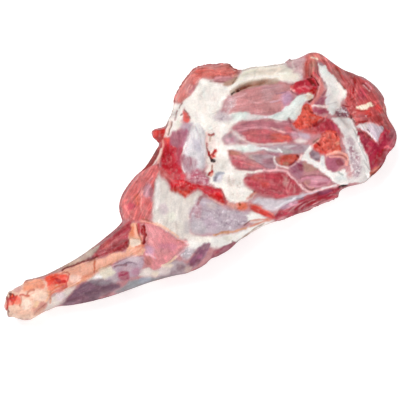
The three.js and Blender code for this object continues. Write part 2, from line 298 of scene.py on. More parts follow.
outline = rounded(LEG_OUTLINE, True)
walked = np.append(0, np.cumsum(np.hypot(*np.diff(outline, axis=0).T)))
posts = np.stack([np.interp(np.arange(0, walked[-1], FIT_STEP), walked, side) for side in outline.T], axis=1)
heading = np.roll(posts, -1, axis=0) - np.roll(posts, 1, axis=0)
outward = np.stack([-heading[:, 1], heading[:, 0]], axis=1) / np.hypot(*heading.T)[:, None]
pieces = [meat, bone]
points = np.vstack([arrays_of(piece)[0] for piece in pieces])
spots = seen_at(points)
least, owner = np.full(len(spots), np.inf), np.zeros(len(spots), int)
for number, post in enumerate(posts):
    gap = np.hypot(*(spots - post).T)
    owner[gap < least] = number
    least = np.minimum(gap, least)
beyond = ((spots - posts[owner]) * outward[owner]).sum(axis=1)
missed = np.full(len(posts), -FIT_MOST)
np.maximum.at(missed, owner, beyond)
missed = np.clip(sum(np.roll(missed, turn) for turn in (-1, 0, 1)) / 3, -FIT_MOST, FIT_MOST)
slide = -missed[owner] * (1 - ease(0, FIT_REACH, missed[owner] - beyond))
step = outward[owner] * slide[:, None] * PIXEL_MM / 1000
away = np.array((upward.x, upward.y, 0)) / math.sin(HEIGHT) ** 2
points += step[:, :1] * np.array(rightward) - step[:, 1:] * away
for piece, own in own_points():
    piece.data.vertices.foreach_set("co", points[own].ravel())
    piece.data.update()
print("rim slid by", round(float(np.abs(missed).mean()), 1), "pixels on average, at most", FIT_MOST)

# %% [markdown]
# Every surface point now gets its place in the picture. What the camera can't see, such as the far wall,
# borrows the place of the rim above it, so that its colours run on round the edge.

# %% Find each point's place in the picture
RIM_STEP = 0.018  # how far inside the edge a hidden wall looks for its colours
RIM_HEIGHT = 0.055  # the least height at which it looks
OUT_OF_SIGHT, IN_SIGHT = -0.06, 0.14  # how much a point faces the camera where it fades from sight

points, normals = (np.vstack(both) for both in zip(*(arrays_of(piece) for piece in pieces)))
ray = np.array(eye) - points
facing = (normals * ray).sum(axis=1) / np.linalg.norm(ray, axis=1)
hidden = 1 - ease(OUT_OF_SIGHT, IN_SIGHT, facing)
level = np.hypot(normals[:, 0], normals[:, 1])[:, None] + 1e-6
rim = points - np.hstack([normals[:, :2] / level * RIM_STEP, np.zeros((len(points), 1))])
rim[:, 2] = np.maximum(points[:, 2], RIM_HEIGHT)
place = seen_at(points) + (seen_at(rim) - seen_at(points)) * hidden[:, None]
print(len(points), "points,", int((hidden > 0.5).sum()), "of them out of the camera's sight")

# %% [markdown]
# The chart ends at the leg's outline. A point that falls on that edge or past it takes its colours from just
# inside, so that no bare rim shows.

# %% Draw the places in from the chart's edge
INSIDE = 0.7  # pixels

edge_depth, edge_spot = depth_in(outline, place)
outside = np.flatnonzero(edge_depth < INSIDE)
inward = (place[outside] - edge_spot[outside]) / edge_depth[outside, None]
place[outside] = edge_spot[outside] + inward * INSIDE
print(len(outside), "points drawn in from the edge")

# %% [markdown]
# Nothing in flesh runs along a ruler. A slow and a quick wobble of all places bends every outline and line
# that is drawn later.

# %% Let the places wobble
WOBBLES = ((6.0, 0.55), (2.4, 0.2))  # size and reach of each, in pixels

steady = place.copy()
for number, (size, reach) in enumerate(WOBBLES):
    sideways, downward = (mottle(steady, size, 51 + 2 * number + side) for side in (0, 1))
    place += reach * np.stack([sideways, downward], axis=1)
print("places wobble by up to", round(float(np.abs(place - steady).max()), 1), "pixels")

# %% [markdown]
# Each point keeps its colour, its rise, the way its fibres run and its finish. A brush mixes new values
# into them, so what is laid later lies over what was laid before.

# %% Keep the surface's paint
tint = np.tile(linear("#C48A8E"), (len(points), 1))
lift = np.zeros(len(points))  # millimetres that each point rises
fibre = np.full(len(points), -25.0)  # which way the muscle's fibres run, in degrees down from rightward
finish = {name: np.zeros(len(points)) for name in ("streak", "film", "torn")}
edge_noise = mottle(place, 3.0, 1) + 0.6 * mottle(place, 1.5, 2)
laid = []  # the names of the areas and lines that a cell has drawn


def lay(near, cover, colour, finishes, grain):
    """Mixes a colour and its finishes into the surface by its cover."""
    tint[near] += (linear(colour) - tint[near]) * cover[:, None]
    for name, value in finishes.items():
        finish[name][near] += (value - finish[name][near]) * cover
    if grain is not None:
        fibre[near[cover > 0.5]] = grain


def say_laid(part):
    """Prints how much a part took, and counts anew."""
    print(part, "took", len(laid), "areas and lines, from", laid[0], "to", laid[-1])
    laid.clear()


print("paint kept for", len(tint), "points")

# %% [markdown]
# Muscle and fascia seldom meet in a clean line: the white fades out in wisps along the fibres. So each brush
# shifts the points along the fibres by a streaky noise before it asks how deep inside an outline they lie.

# %% Define the brushes for areas and lines
def along_and_across(spots, angle):
    """How far each spot lies along a direction, and across it."""
    return np.stack([spots[:, 0] * np.cos(angle) + spots[:, 1] * np.sin(angle),
                     spots[:, 1] * np.cos(angle) - spots[:, 0] * np.sin(angle)], axis=1)


def within(outline, reach, wisp=0.0, grain=None):
    """The surface points near an outline, and how deep each lies inside it once its wisps are drawn."""
    line = rounded(outline, True)
    near = close_to(line, reach + 2 * wisp)
    angle = np.radians(fibre[near] if grain is None else np.full(len(near), grain))
    drawn = along_and_across(place[near], angle) / (8, 1)
    shift = wisp * (mottle(drawn, 2.0, 3) + 0.8 * mottle(drawn, 4.4, 4))
    heading = np.stack([np.cos(angle), np.sin(angle)], axis=1)
    depth, _ = depth_in(line, place[near] + heading * shift[:, None])
    return near, depth


def patch(name, colour, outline, soft=3.0, cover=1.0, rise=0.0, swell=6.0, seam=0.0, ragged=0.5, wisp=1.6,
          grow=0.0, grain=None, **finishes):
    """An area of one tissue: its colour, its rise in mm over a swell in pixels, and the seam round it."""
    laid.append(name)
    near, depth = within(outline, 2 * soft + 4, wisp, grain)
    depth = depth + grow + ragged * edge_noise[near]
    lay(near, cover * ease(-0.8 * soft, 0.8 * soft, depth), colour, finishes, grain)
    dome = np.clip(depth / swell, 0, 1)
    lift[near] += rise * np.sqrt(dome * (2 - dome)) - seam * np.exp(-(depth / 1.6) ** 2)


def band(name, colour, path, wide, soft=1.2, cover=1.0, rise=0.0, ragged=0.3, grain=None, **finishes):
    """A strip along a path, such as a tendon, a vein or a groove: its full width in pixels, and its rise."""
    laid.append(name)
    line = rounded(path, False)
    near = close_to(line, wide + soft + 3)
    gap = nearest_on(line, place[near])[0] + ragged * edge_noise[near]
    lay(near, cover * (1 - ease((wide - soft) / 2, (wide + soft) / 2, gap)), colour, finishes, grain)
    lift[near] += rise * np.exp(-(gap / (0.5 * wide + 0.4)) ** 2)


# %% [markdown]
# Within a tissue a few broad shades and some lines follow the real leg, one to a row of a block. What is
# finer is scattered: flecks for spots of fat, blood and wetness, and hairs for fibres and folds.

# %% Define the brushes for shades, flecks and hairs
def rows_of(block):
    """A block's rows as colour, size and x,y pairs. Each row starts with the # of its colour."""
    return [("#" + row).split(None, 2) for row in block.split("#")[1:]]


def tones(name, block, cover=0.85, wisp=0.5, grow=0.25, **edges):
    """Soft areas within a tissue. A row is an area's colour, the width of its soft edge, and its outline."""
    for colour, soft, outline in rows_of(block):
        soft = float(soft)
        patch(name, colour, outline, soft=soft, cover=cover, wisp=wisp, grow=grow * soft, **edges)


def strokes(name, block, soft=1.2, cover=0.8, rise=0.0):
    """Thin lines on a tissue. A row is a line's colour, its width in pixels, and its path."""
    for colour, wide, path in rows_of(block):
        band(name, colour, path, float(wide), soft=soft, cover=cover, rise=rise)


def flecks(name, colour, outline, size, share, cover=0.7):
    """Scattered spots inside an outline: their size in pixels, and the share of the area that they take."""
    laid.append(name)
    near, depth = within(outline, 2)
    seed = seed_of(name)
    spots = mottle(place[near], size, seed) + 0.5 * mottle(place[near], size * 0.5, seed + 1)
    bar = np.quantile(spots, 1 - share)
    amount = ease(bar - 0.12, bar + 0.12, spots) * ease(-1, 1, depth)
    lay(near, cover * amount, colour, {}, None)


def hairs(name, colours, outline, grain, count, length=10.0, wide=1.1, cover=0.45, bend=7.0):
    """Fine strokes scattered inside an outline along the grain, each colour in turn."""
    laid.append(name)
    chance = np.random.default_rng(seed_of(name))
    near, depth = within(outline, 1)
    edge, spots = ease(-0.5, 1.5, depth), place[near]
    starts = spots[depth > 0.5]
    for i in range(count):
        angle = math.radians(grain + chance.normal(0, bend))
        offset = spots - starts[chance.integers(len(starts))]
        half, thick = length * chance.uniform(0.3, 0.8), wide * chance.uniform(0.3, 0.7)
        sag = chance.normal(0, 0.8)
        forth = (offset[:, 0] * math.cos(angle) + offset[:, 1] * math.sin(angle)) / half
        aside = offset[:, 1] * math.cos(angle) - offset[:, 0] * math.sin(angle) + sag * forth ** 2
        beside = 1 - ease(thick * 0.5, thick * 1.3 + 0.3, abs(aside))
        amount = edge * beside * (1 - ease(0.4, 1, abs(forth)))
        lay(near, cover * chance.uniform(0.6, 1.2) * amount, colours[i % len(colours)], {}, None)


# %% [markdown]
# White fascia, the tough sheet that wraps muscle, fills the hollow between the front roll and the shoulder
# blade's bellies and runs down the middle of the leg. It goes on first, because the bellies lie over it. Long
# soft folds run through it, so pale strokes of four whites lie over its even colour.

# %% Lay the white fascia
patch("front fascia", "#F2EAE3",
      "181,103 186,97 192,91 196,84 199,79 204,77 210,79 218,83 226,86 233,84 238,78 241,73 250,68 264,67 "
      "278,65 290,62 300,60 304,66 302,79 294,84 280,80 266,80 252,83 240,88 230,94 224,100 222,108 "
      "216,114 213,122 205,132 196,130 189,124 190,119 187,113 183,109 180,108", film=0.15)
hairs("front fascia folds", ("#FCF8F2", "#DCD2CE", "#EFE0D8", "#E4E6E0"),
      "190,98 199,84 214,86 224,94 220,108 212,122 203,130 193,124", 80, 44, length=13, wide=1.8, cover=0.3)
patch("white junction", "#F8F2EA",
      "194,128 206,120 216,114 226,113 238,112 246,113 240,120 232,127 226,134 221,140 224,145 230,148 "
      "228,152 230,162 236,170 246,173 244,178 247,187 256,193 250,200 238,204 228,202 221,193 214,188 "
      "208,180 206,168 207,152 205,140", rise=-1, film=0.1)
hairs("junction folds", ("#FFFAF5", "#F0DDD6", "#E2E6E2", "#E9DED8"),
      "206,128 220,116 236,114 228,132 222,146 230,164 244,176 250,190 238,202 224,198 212,182 208,160", 84,
      60, length=12, wide=1.7, cover=0.3)
patch("greenish hollow", "#E3EBE6", "233,118 238,113 246,112 250,115 243,119 236,121", soft=3, cover=0.8)
flecks("beige spots", "#D8CCC0", "222,178 236,176 244,186 240,198 226,196", 2.4, 0.12, cover=0.6)
say_laid("white fascia")

# %% [markdown]
# The bellies over the blade swell between bands of white fascia. The first is rose and speckled white at its
# left end and turns purple at its right, under a thin bluish film.

# %% Lay the upper blade belly
UPPER_BELLY = """
    225,108 226,101 229,96 233,94 240,91 250,88 262,85 274,84 286,84 293,87 290,90 296,94 294,98 287,105
    280,110 270,114 256,112 244,111 236,112 230,114"""
patch("upper belly", "#C67F80", UPPER_BELLY, rise=3, swell=9, seam=1, grain=-12, streak=0.25, film=0.1)
tones("upper belly", """
    #C9A3A7 4 225,110 227,99 231,96 235,100 231,108 229,113
    #C69698 5 262,87 270,87 272,100 263,101
    #B88488 4 270,86 281,85 281,92 271,93
    #B486A8 4 282,95 290,94 293,98 288,104 283,105""")
strokes("upper belly's light streaks", """
    #DDA6A8 1.2 241,97 246,94
    #D89C9E 1.2 250,104 258,103
    #D09A9C 1.2 262,98 270,97
    #C8A0B0 1.2 270,103 279,101
    #D6A4A8 1.2 234,98 240,97""")
strokes("upper belly's dark streaks", """
    #B06C72 1.2 250,107 255,108
    #A8727E 1.3 262,89 272,88
    #9C7084 1.2 276,94 285,93""")
tones("film below the upper belly", """
    #DCE2DC 2 231,114 238,113 246,113 248,117 246,120 238,120 232,120
    #DCD6D4 1.6 246,114 256,115 266,116 267,118 256,120 246,120
    #ECE2E8 1.6 265,116 273,115 280,112 287,106 290,106 284,114 277,118 266,118""")
patch("grey mottling", "#CBBAC0", "212,119 216,113 222,110 227,113 232,117 229,122 220,122", soft=4,
      cover=0.8)
flecks("mottling spots", "#AD98A2", "213,119 219,112 230,115 226,121", 1.9, 0.22)
say_laid("upper blade belly")

# %% [markdown]
# Between the front ridge and the upper belly runs a deep slit, nearly black at its left end. It is both a
# dark shade and a real groove. The ridge over it is cream fat, crowned yellow and blushed peach.

# %% Lay the cream ridge and cut the slit under it
patch("cream ridge", "#F3EBDC",
      "228,89 234,84 240,78 244,72 252,69 264,67 278,66 290,66 300,70 299,80 286,80 272,78 258,79 246,82 "
      "236,87", rise=2.2, swell=6)
patch("ridge crown", "#EFE9D3", "242,76 247,71 256,69 256,74 248,77", soft=3, cover=0.8)
patch("ridge blush", "#F0DCCA", "258,70 272,68 284,68 282,75 268,76 258,75", soft=5, cover=0.7)
# The ridge's far rim is a darker beige along the leg's outline: painted shade where the surface turns away.
band("ridge's far rim in painted shade", "#D6CCBE", "243,70 252,67 264,66 276,65 286,63", 2.4, soft=2, cover=0.7)
hairs("ridge folds", ("#FFFBF2", "#E0D2C0", "#EBDDD2"), "238,82 246,73 270,70 294,72 290,78 262,77 246,81",
      -10, 30, length=14, wide=1.4, cover=0.35)
RIDGE_END = "284,63 290,60 298,59 305,57 305,66 303,78 297,76 293,70 286,69"
patch("ridge end", "#CFA9AC", RIDGE_END, soft=4, film=0.2)
hairs("ridge end strands", ("#E9DCD4", "#C08E92", "#DDC0BE"), RIDGE_END, 75, 24, length=8, wide=1.2)
band("slit shade", "#B29A86", "232,92 240,88 250,84 262,82 276,81", 6, soft=3, cover=0.75)
patch("slit", "#A0705C", "234,92 238,87 244,84 252,81 262,80 270,80 262,84 252,86 244,89 239,91", cover=0.9,
      rise=-4, swell=3, wisp=0.6)
patch("deep slit", "#7A4634", "234,93 238,88 244,85 252,83 250,85 243,89 239,91", soft=1.5, cover=0.9,
      wisp=0.6)
patch("slit's deep end", "#52261A", "237,90 238,88 241,89 240,91 238,91", soft=1.2, rise=-2, swell=1.5,
      wisp=0.6)
band("slit tip", "#2E1C1A", "231,94 234,92", 1.6, soft=1)
band("white lip", "#F6EEE8", "229,90 236,85 244,81 254,78 266,77 280,77", 1.8, cover=0.7, rise=0.6)
say_laid("cream ridge and slit")

# %% [markdown]
# At the front edge a roll of red muscle curls over the white hollow. Its left limb is pale and streaked along
# its length, and its top limb darkens underneath as painted shade, where it turns away from the light. An
# olive band under its right end is its painted shadow, and dark lines along its outer edge and under it are
# painted shade.

# %% Lay the front roll
patch("roll", "#D67A72",
      "174,102 176,95 178,90 182,85 186,80 190,74 194,70 198,67 205,66 215,66 220,64 226,64 231,65 233,68 "
      "236,70 241,72 237,75 232,76 226,75 219,77 212,78 206,77 203,76 200,78 198,81 195,86 192,91 188,96 "
      "184,99 181,103", rise=3, swell=5, seam=1, streak=0.7, wisp=0.6)
LEFT_LIMB = "174,102 176,95 178,90 182,85 186,80 190,75 196,78 195,86 191,92 186,97 181,102"
TOP_LIMB = "192,73 198,68 206,67 220,65 231,66 239,72 232,76 219,77 206,77 199,78"
patch("left limb", "#D67C76", LEFT_LIMB, soft=4, cover=0.8, grain=-62)
patch("top limb", "#CE6A62", TOP_LIMB, soft=3, cover=0.6, grain=-3)
# The olive row of these tones, under the roll's right end, is the roll's painted shadow.
tones("roll", """
    #E07E76 2.5 188,77 193,72 197,75 194,79 190,82
    #B2747C 2 189,86 194,84 195,89 191,93 188,92
    #DC6A62 2.5 195,70 207,67 207,73 197,74
    #BA9984 1.6 223,84 228,81 233,79 237,76 239,77 236,81 232,85 225,86""")
# The two lines along the roll's outer edge, the dark line under its top limb and the brown line at its right
# end are painted shade.
strokes("roll's lines and painted shade", """
    #A8706A 1.2 175,101 176,96 178,91 181,86 186,80 191,74 194,70 198,68
    #B0706A 1 198,68 206,67 214,67 220,66 226,65 231,66
    #E4A2A8 2 216,78 220,77 225,77 229,77
    #8A5A56 1.3 210,81 213,81 218,82 225,82
    #ECB4A4 1.4 233,76 236,75 238,75
    #8E7260 1.2 237,77 235,80 233,83""")
hairs("left limb fibres", ("#EAB0A6", "#C0605E"), LEFT_LIMB, -62, 20)
hairs("top limb fibres", ("#E08A7E", "#B04440"), TOP_LIMB, -3, 16)
say_laid("front roll")

# %% [markdown]
# Left of the hollow the front edge is ragged: white strands, with red lines between them, run down to a cut
# wall.

# %% Lay the strands
patch("strands", "#F0E6E0",
      "174,103 181,103 183,109 182,118 181,127 176,131 170,136 166,138 164,131 168,118", film=0.15)
patch("olive tinge", "#DAD6C6", "176,119 181,120 181,128 176,129", soft=3, cover=0.7)
patch("lilac spot", "#C4B2C0", "179,127 186,123 192,123 192,130 187,133 181,131", soft=4, cover=0.8)
strokes("red line between strands", """
    #7E4A44 1.4 182,103 180,105 179,108
    #A88484 1.4 177,111 176,115 175,120
    #96564C 1.4 172,122 170,128 168,135
    #8A3A34 1.4 168,122 166,127 164,131
    #B0A49C 1.4 171,113 170,118""", rise=-0.6)
band("peach strand", "#F7D0C4", "170,122 168,128 166,135 163,141", 1.8, cover=0.75, rise=0.6)
patch("red spot", "#DD6A64", "183,110 186,112 189,116 190,121 187,123 184,121 183,116", soft=1.4, rise=0.8,
      swell=2.5, wisp=0.6)
band("red spot's edge", "#8A4846", "184,110 186,111 189,115 190,119", 1.2, cover=0.75)
band("dot beside the spot", "#6E4A48", "181,115 182,114", 1.4, cover=0.7)
say_laid("strands")

# %% [markdown]
# The cut wall is dark red and runs down to the arm. A torn tag hangs over its top and a thin red strip runs
# down its side. Beside it lie a grey filmed oval and a speckled strip.

# %% Lay the cut wall and the grey oval
CUT_WALL = """
    160,141 166,138 172,140 178,144 184,147 183,157 181,165 183,172 186,180 177,180 168,175 161,169
    160,157"""
WALL_HEAD = "170,138 173,133 178,131 184,130 189,130 188,137 185,145 182,149 175,147 170,144"
patch("cut wall", "#BE3640", CUT_WALL, soft=2.5, rise=-0.8, grain=72, streak=0.25, torn=0.3)
patch("purple head", "#A8647A", WALL_HEAD, soft=3, grain=75, streak=0.3)
tones("wall", """
    #DE5A50 2.5 161,138 169,137 170,142 164,144 161,142
    #B21220 2.5 164,145 168,145 171,150 169,155 165,152
    #C84652 4 172,150 179,152 179,164 173,163
    #C4424E 2.5 178,170 185,173 186,180 179,179""", grow=0, ragged=0.8, wisp=0.8)
hairs("wall fibres", ("#D65C60", "#9C1A24", "#CE4A50"), CUT_WALL, 74, 34, length=7, wide=1.4, cover=0.4)
band("wall's pale edge", "#F2AEA2", "163,141 163,147 161,153 159,159 158,163", 2, soft=1.6, cover=0.8,
     rise=0.8)
# Pale dashes on the wall are painted highlights of its wet surface.
for path in ("173,146 176,147", "166,158 168,161", "178,149 179,152", "171,157 171,160"):
    band("painted highlight dash on the wall", "#D88484", path, 1, cover=0.4)
patch("torn tag", "#D4423F",
      "152,131 154,130 160,130 165,129 166,132 164,138 161,142 158,142 155,140 153,136", soft=1.2, rise=1,
      swell=3, wisp=0.6)
# The tag's lighter side is painted light, just as its darker lower right is painted shade.
patch("tag's painted lit side", "#E05C56", "153,132 157,131 158,135 155,137", soft=2, cover=0.7, wisp=0.6)
patch("tag's shade", "#A00810", "159,135 164,133 164,138 161,141 158,141", cover=0.85, wisp=0.6)
band("tag's dark top", "#8E3028", "153,131 159,130 164,131", 1, cover=0.6)
band("pale gap", "#F6DACE", "161,149 160,155 156,161 151,165", 2.6, soft=1.6, cover=0.85)
band("side strip", "#A42C26", "159,149 157,154 153,160 148,165 145,170", 3.6, rise=0.8, grain=125,
     streak=0.2)
band("side strip's dark edge", "#6E0A0C", "156,156 152,161 148,165 145,170", 1.6, cover=0.85)
band("side strip's light", "#C4584C", "157,151 156,155 152,159", 1.2, cover=0.6)
GREY_OVAL = """
    187,138 190,130 194,125 201,125 205,131 207,142 207,152 206,162 203,169 197,173 190,173 185,171
    182,165 182,156 185,147"""
patch("grey oval", "#DFD8DB", GREY_OVAL, soft=4, rise=2.2, swell=7, seam=0.5, grain=82, film=0.3, wisp=0.6)
tones("oval", """
    #EAE6E4 4 190,129 201,126 204,138 192,139
    #D3CAD6 4 193,140 200,140 200,151 193,151
    #A27480 2.5 183,160 187,156 191,158 193,165 189,169 185,168
    #C8C2C8 3 200,154 205,152 205,165 201,168""", grow=0, wisp=1)
band("oval's white line", "#F8F0EE", "186,143 184,149 182,156 182,163 183,169 185,172", 1.6, cover=0.85,
     rise=0.5)
hairs("oval folds", ("#F4EFF0", "#BFB2BC", "#D3C6CE"), GREY_OVAL, 82, 30, length=10, wide=1.4, cover=0.35)
SPECKLED_STRIP = "186,174 192,172 197,170 203,171 207,175 210,181 212,186 204,184 194,183 187,180"
tones("oval's purple side", """
    #AE848E 2 182,156 185,155 187,160 186,166 183,165 181,160""")
patch("speckled strip", "#BC7886", SPECKLED_STRIP, film=0.2)
tones("strip", """
    #983A52 1.6 195,176 199,176 198,179 196,179
    #E2BCC2 1.6 194,179 197,179 197,182 195,182
    #DEB4B8 1.6 187,175 189,174 190,179 187,179
    #DCAAB2 1.6 200,179 203,179 204,182 201,182""", grow=0, cover=0.8, ragged=0.9, wisp=0.8)
flecks("strip's pale specks", "#E4C0C8", SPECKLED_STRIP, 1.6, 0.14, cover=0.6)
say_laid("cut wall and the grey oval")

# %% [markdown]
# Blood gathers where a vessel was cut, in the white middle of the leg: thin red lines, a hole painted nearly
# black as the shade inside it, and beside them an empty blue-grey vein. A few shades that the wall and the
# belly beside it need on top come last.

# %% Paint the cut vessel
patch("blush round the vessel", "#F7E0D8", "205,132 213,131 217,140 217,160 214,175 208,176 205,160",
      soft=4, cover=0.5)
# The near-black row, at the hole, is painted shade inside the cut vessel.
strokes("blood lines", """
    #F6D2CA 3 207,133 207,143 207,150
    #B4504A 1.9 209,134 211,135
    #9A3030 1.9 212,135 214,134
    #CDB0A0 1.6 211,136 210,140
    #CE8C8C 1.5 207,143 207,146
    #A86868 1.7 207,148 208,151
    #F8B6A6 2 216,151 215,157
    #F88A78 2.6 212,154 212,157
    #A00000 2.8 209,152 209,154 210,155
    #640000 2.2 210,156 211,158 212,160
    #DA1A10 2.4 213,154 214,156
    #B40000 2.8 215,150 214,152 213,154
    #120404 3 212,160 214,161
    #B48A7E 2 212,165 212,169
    #B80800 2.7 212,171 211,172
    #A00004 2.5 210,172 209,174
    #F4A898 2.2 211,175 212,173""", cover=0.95, rise=-0.3)
tones("empty vein", """
    #DCD8DF 2 214,182 214,176 217,173 223,172 222,178 220,182
    #9AA0AC 1.6 213,181 214,176 216,173 220,171 224,173 223,174 219,174 217,176 216,181
    #8A8490 1.3 214,177 216,177 216,181 214,181
    #F5F1FE 1.2 217,176 220,176 220,178 218,179""")
strokes("lines left of the vessel", """
    #A06A74 2 203,172 205,173
    #A87880 1.6 207,176 208,179 209,182
    #D8CABF 2.4 229,175 229,180 231,185""", cover=0.7)
tones("cut wall's shades", """
    #A85262 3 176,147 183,149 182,165 177,166
    #A62A38 2.5 165,146 172,148 172,155 166,155
    #AE848E 2.5 183,160 189,157 196,160 197,168 190,173 184,171
    #A86874 2.5 171,134 178,132 184,136 180,146 172,146""", cover=0.7)
# The dark red laid over the torn outer edge is painted shade of the rim.
strokes("torn edge's dark red in painted shade", """
    #960000 3.2 147,169 150,165 153,161 156,157 158,151""", cover=1)
flecks("white specks on the belly's end", "#EBDCDD", "221,117 223,104 230,96 238,101 236,110 229,116", 1.7,
       0.3, cover=0.28)
say_laid("cut vessel")

# %% [markdown]
# A thick red edge was cut across below the shoulder, in the shape of a wide V. It stands proud of the sheet
# beneath, and its lower lip is orange where blood has dried. A grey-brown line below it is its painted
# shadow.

# %% Lay the cut edge below the shoulder
patch("cut edge", "#CB343B",
      "159,166 165,171 171,176 176,179 184,180 190,182 199,184 208,186 215,188 220,188 223,192 225,198 "
      "227,205 222,204 216,200 209,196 202,192 198,190 193,191 188,196 185,198 181,195 176,192 170,191 "
      "171,184 166,178 161,173", rise=2.8, swell=4, seam=1, grain=20, streak=0.5, torn=0.35, wisp=0.6)
patch("brownish left", "#B4534F", "159,167 166,172 172,178 171,184 165,178 160,173", soft=3, cover=0.8)
EDGE_MIDDLE = "174,181 184,181 190,184 188,190 178,189"
patch("hot middle of the edge", "#CE2630", EDGE_MIDDLE, soft=4, cover=0.8)
patch("orange lower lip", "#D4482F", "171,188 178,190 186,190 192,188 189,195 185,198 180,194 174,192",
      soft=2.5, cover=0.8)
flecks("edge's pale specks", "#EE7070", EDGE_MIDDLE, 1.8, 0.2)
flecks("edge's dark specks", "#A3121C", EDGE_MIDDLE, 2, 0.12)
patch("rose arm of the edge", "#CC4852", "198,185 210,187 220,189 222,193 214,193 203,190", soft=3,
      cover=0.8)
patch("orange underside", "#D3483D", "203,191 212,194 221,196 226,204 217,200 209,196", soft=2.5, cover=0.8)
band("edge's dark end", "#8E4A48", "220,189 223,193 225,199 226,204", 1.3, cover=0.6)
tones("cut edge", """
    #B8303A 2 163,164 178,163 178,168 165,168
    #B8202A 2 180,185 193,185 193,190 181,190
    #C83C48 2.5 203,189 213,188 215,194 206,195
    #BE282E 2 213,194 221,193 224,201 217,200""")
# The grey-brown line of this border, below the edge, is the edge's painted shadow.
strokes("cut edge's border and painted shadow", """
    #A85050 1.4 217,188 220,190 223,193 224,197 225,203
    #EAB4A4 1.8 202,195 210,198 216,202 223,205
    #B09888 1.8 173,197 178,198 184,199
    #8E2E2A 1.6 158,165 158,168 157,172
    #E4C0B4 1.4 159,172 158,178""")
say_laid("cut edge below the shoulder")

# %% [markdown]
# The arm: a round red lobe at the left, a wide cream sheet over the forearm's root, and a mottled bluish
# sheet, wet and speckled with painted white highlights, that reaches the near edge.

# %% Lay the arm
ARM_LOBE = """
    145,170 151,166 157,165 160,170 158,180 155,192 153,206 150,220 144,221 136,222 127,222 123,216
    120,209 121,201 124,194 129,187 133,181 138,176"""
patch("arm lobe", "#CF6D6C", ARM_LOBE, rise=2.5, swell=9, grain=118, streak=0.7)
tones("lobe", """
    #CE6C5E 2 135,195 140,195 140,205 136,205
    #C05464 2 129,204 136,204 136,210 129,210
    #CE9CA8 2.5 144,187 150,184 151,196 145,199
    #A8707A 1.6 150,189 154,189 154,202 151,202""")
strokes("lobe's light lines", """
    #E09292 1.4 146,184 150,181 153,177
    #E89690 1.6 142,189 142,198 141,206 142,212
    #E88C8C 1.3 128,211 131,216 134,219""", cover=0.7)
# The long last line runs along the leg's outer edge and is painted shade there.
strokes("lobe's dark lines and painted shade", """
    #A86870 1.3 147,186 150,182 153,179
    #9A8A88 1.4 155,183 155,193
    #B06058 1.2 145,209 145,214 146,219
    #A05A50 1.3 142,219 146,220 149,221 152,222
    #B07070 1.1 145,170 143,173 139,176 135,180 131,185 128,189 125,194 123,199 122,204
                121,208 123,213""", cover=0.7)
hairs("lobe fibres", ("#E59A90", "#B4484E", "#D88484"), ARM_LOBE, 118, 20, length=8, cover=0.2)
CREAM_SHEET = """
    158,174 162,177 167,182 170,191 176,192 182,196 186,198 192,192 198,191 203,193 199,199 194,206
    190,213 190,224 188,230 194,235 204,238 196,241 186,241 176,237 166,231 158,225 152,220 153,206
    155,192"""
patch("cream sheet", "#E2DAD2", CREAM_SHEET, film=0.1, grain=92)
hairs("cream sheet folds", ("#F6EFE6", "#C6BCB8", "#DCCFC2", "#D4D0CA"), CREAM_SHEET, 92, 70, length=15,
      wide=1.5, cover=0.4)
tones("cream sheet", """
    #F6EFEA 1.6 156,180 160,180 160,196 159,208 155,208
    #D4C2C6 2.5 160,204 167,204 167,214 160,214
    #E6E4D6 2.5 169,213 175,213 175,221 169,221
    #C9C1C1 2.5 184,222 190,222 190,233 185,233""")
strokes("sheet's peach hem", """
    #EDB596 1.6 153,222 160,226 166,229 172,232 178,237""", cover=0.7)
MOTTLED_SHEET = """
    190,212 194,205 198,199 203,196 208,198 214,202 222,206 230,209 240,210 248,211 252,215 249,220
    245,225 238,229 230,232 222,234 212,235 202,235 194,232 190,226 189,218"""
patch("mottled sheet", "#BFAEB7", MOTTLED_SHEET, soft=4.5, rise=1.5, swell=8, film=0.25, grain=15)
tones("mottled sheet", """
    #CFC0BF 2.5 206,203 216,203 216,209 207,209
    #BE96A0 2.5 194,206 201,205 202,217 195,219
    #C2ACB8 3 205,219 216,218 216,228 206,228
    #BEB4B8 3 190,221 204,222 206,234 192,234""")
strokes("mottled sheet's brown border", """
    #A07074 2.8 207,196 203,195 200,200 198,204
    #A88088 2 198,205 194,208 192,212 190,217""", cover=0.75)
# These white spots are painted highlights of the wet sheet.
flecks("white wet spots", "#EFE6EA", "208,210 226,209 248,212 244,225 226,231 206,230", 1.4, 0.1,
       cover=0.55)
flecks("dark mottles", "#86707F", "204,212 224,210 248,214 244,225 224,231 206,228", 1.7, 0.14, cover=0.5)
flecks("pale rings", "#E2D2D8", "191,206 201,204 206,228 192,230", 1.6, 0.16, cover=0.5)
say_laid("arm")

# %% [markdown]
# Behind the arm the near edge is a white border of film with an orange seam along it. Below the border the
# flesh shows again: a purple muscle, a patch of film full of air bubbles, and a red strip.

# %% Lay the near edge behind the arm
patch("white border", "#EFEAE5",
      "188,238 198,238 210,237 222,235 234,233 246,229 256,224 266,221 276,220 270,224 256,231 246,237 "
      "236,243 226,246 214,248 206,246 196,250 188,250 184,247", film=0.15)
patch("border's white tip", "#F4EFEA", "248,212 256,213 264,216 269,219 260,221 250,223 246,220")
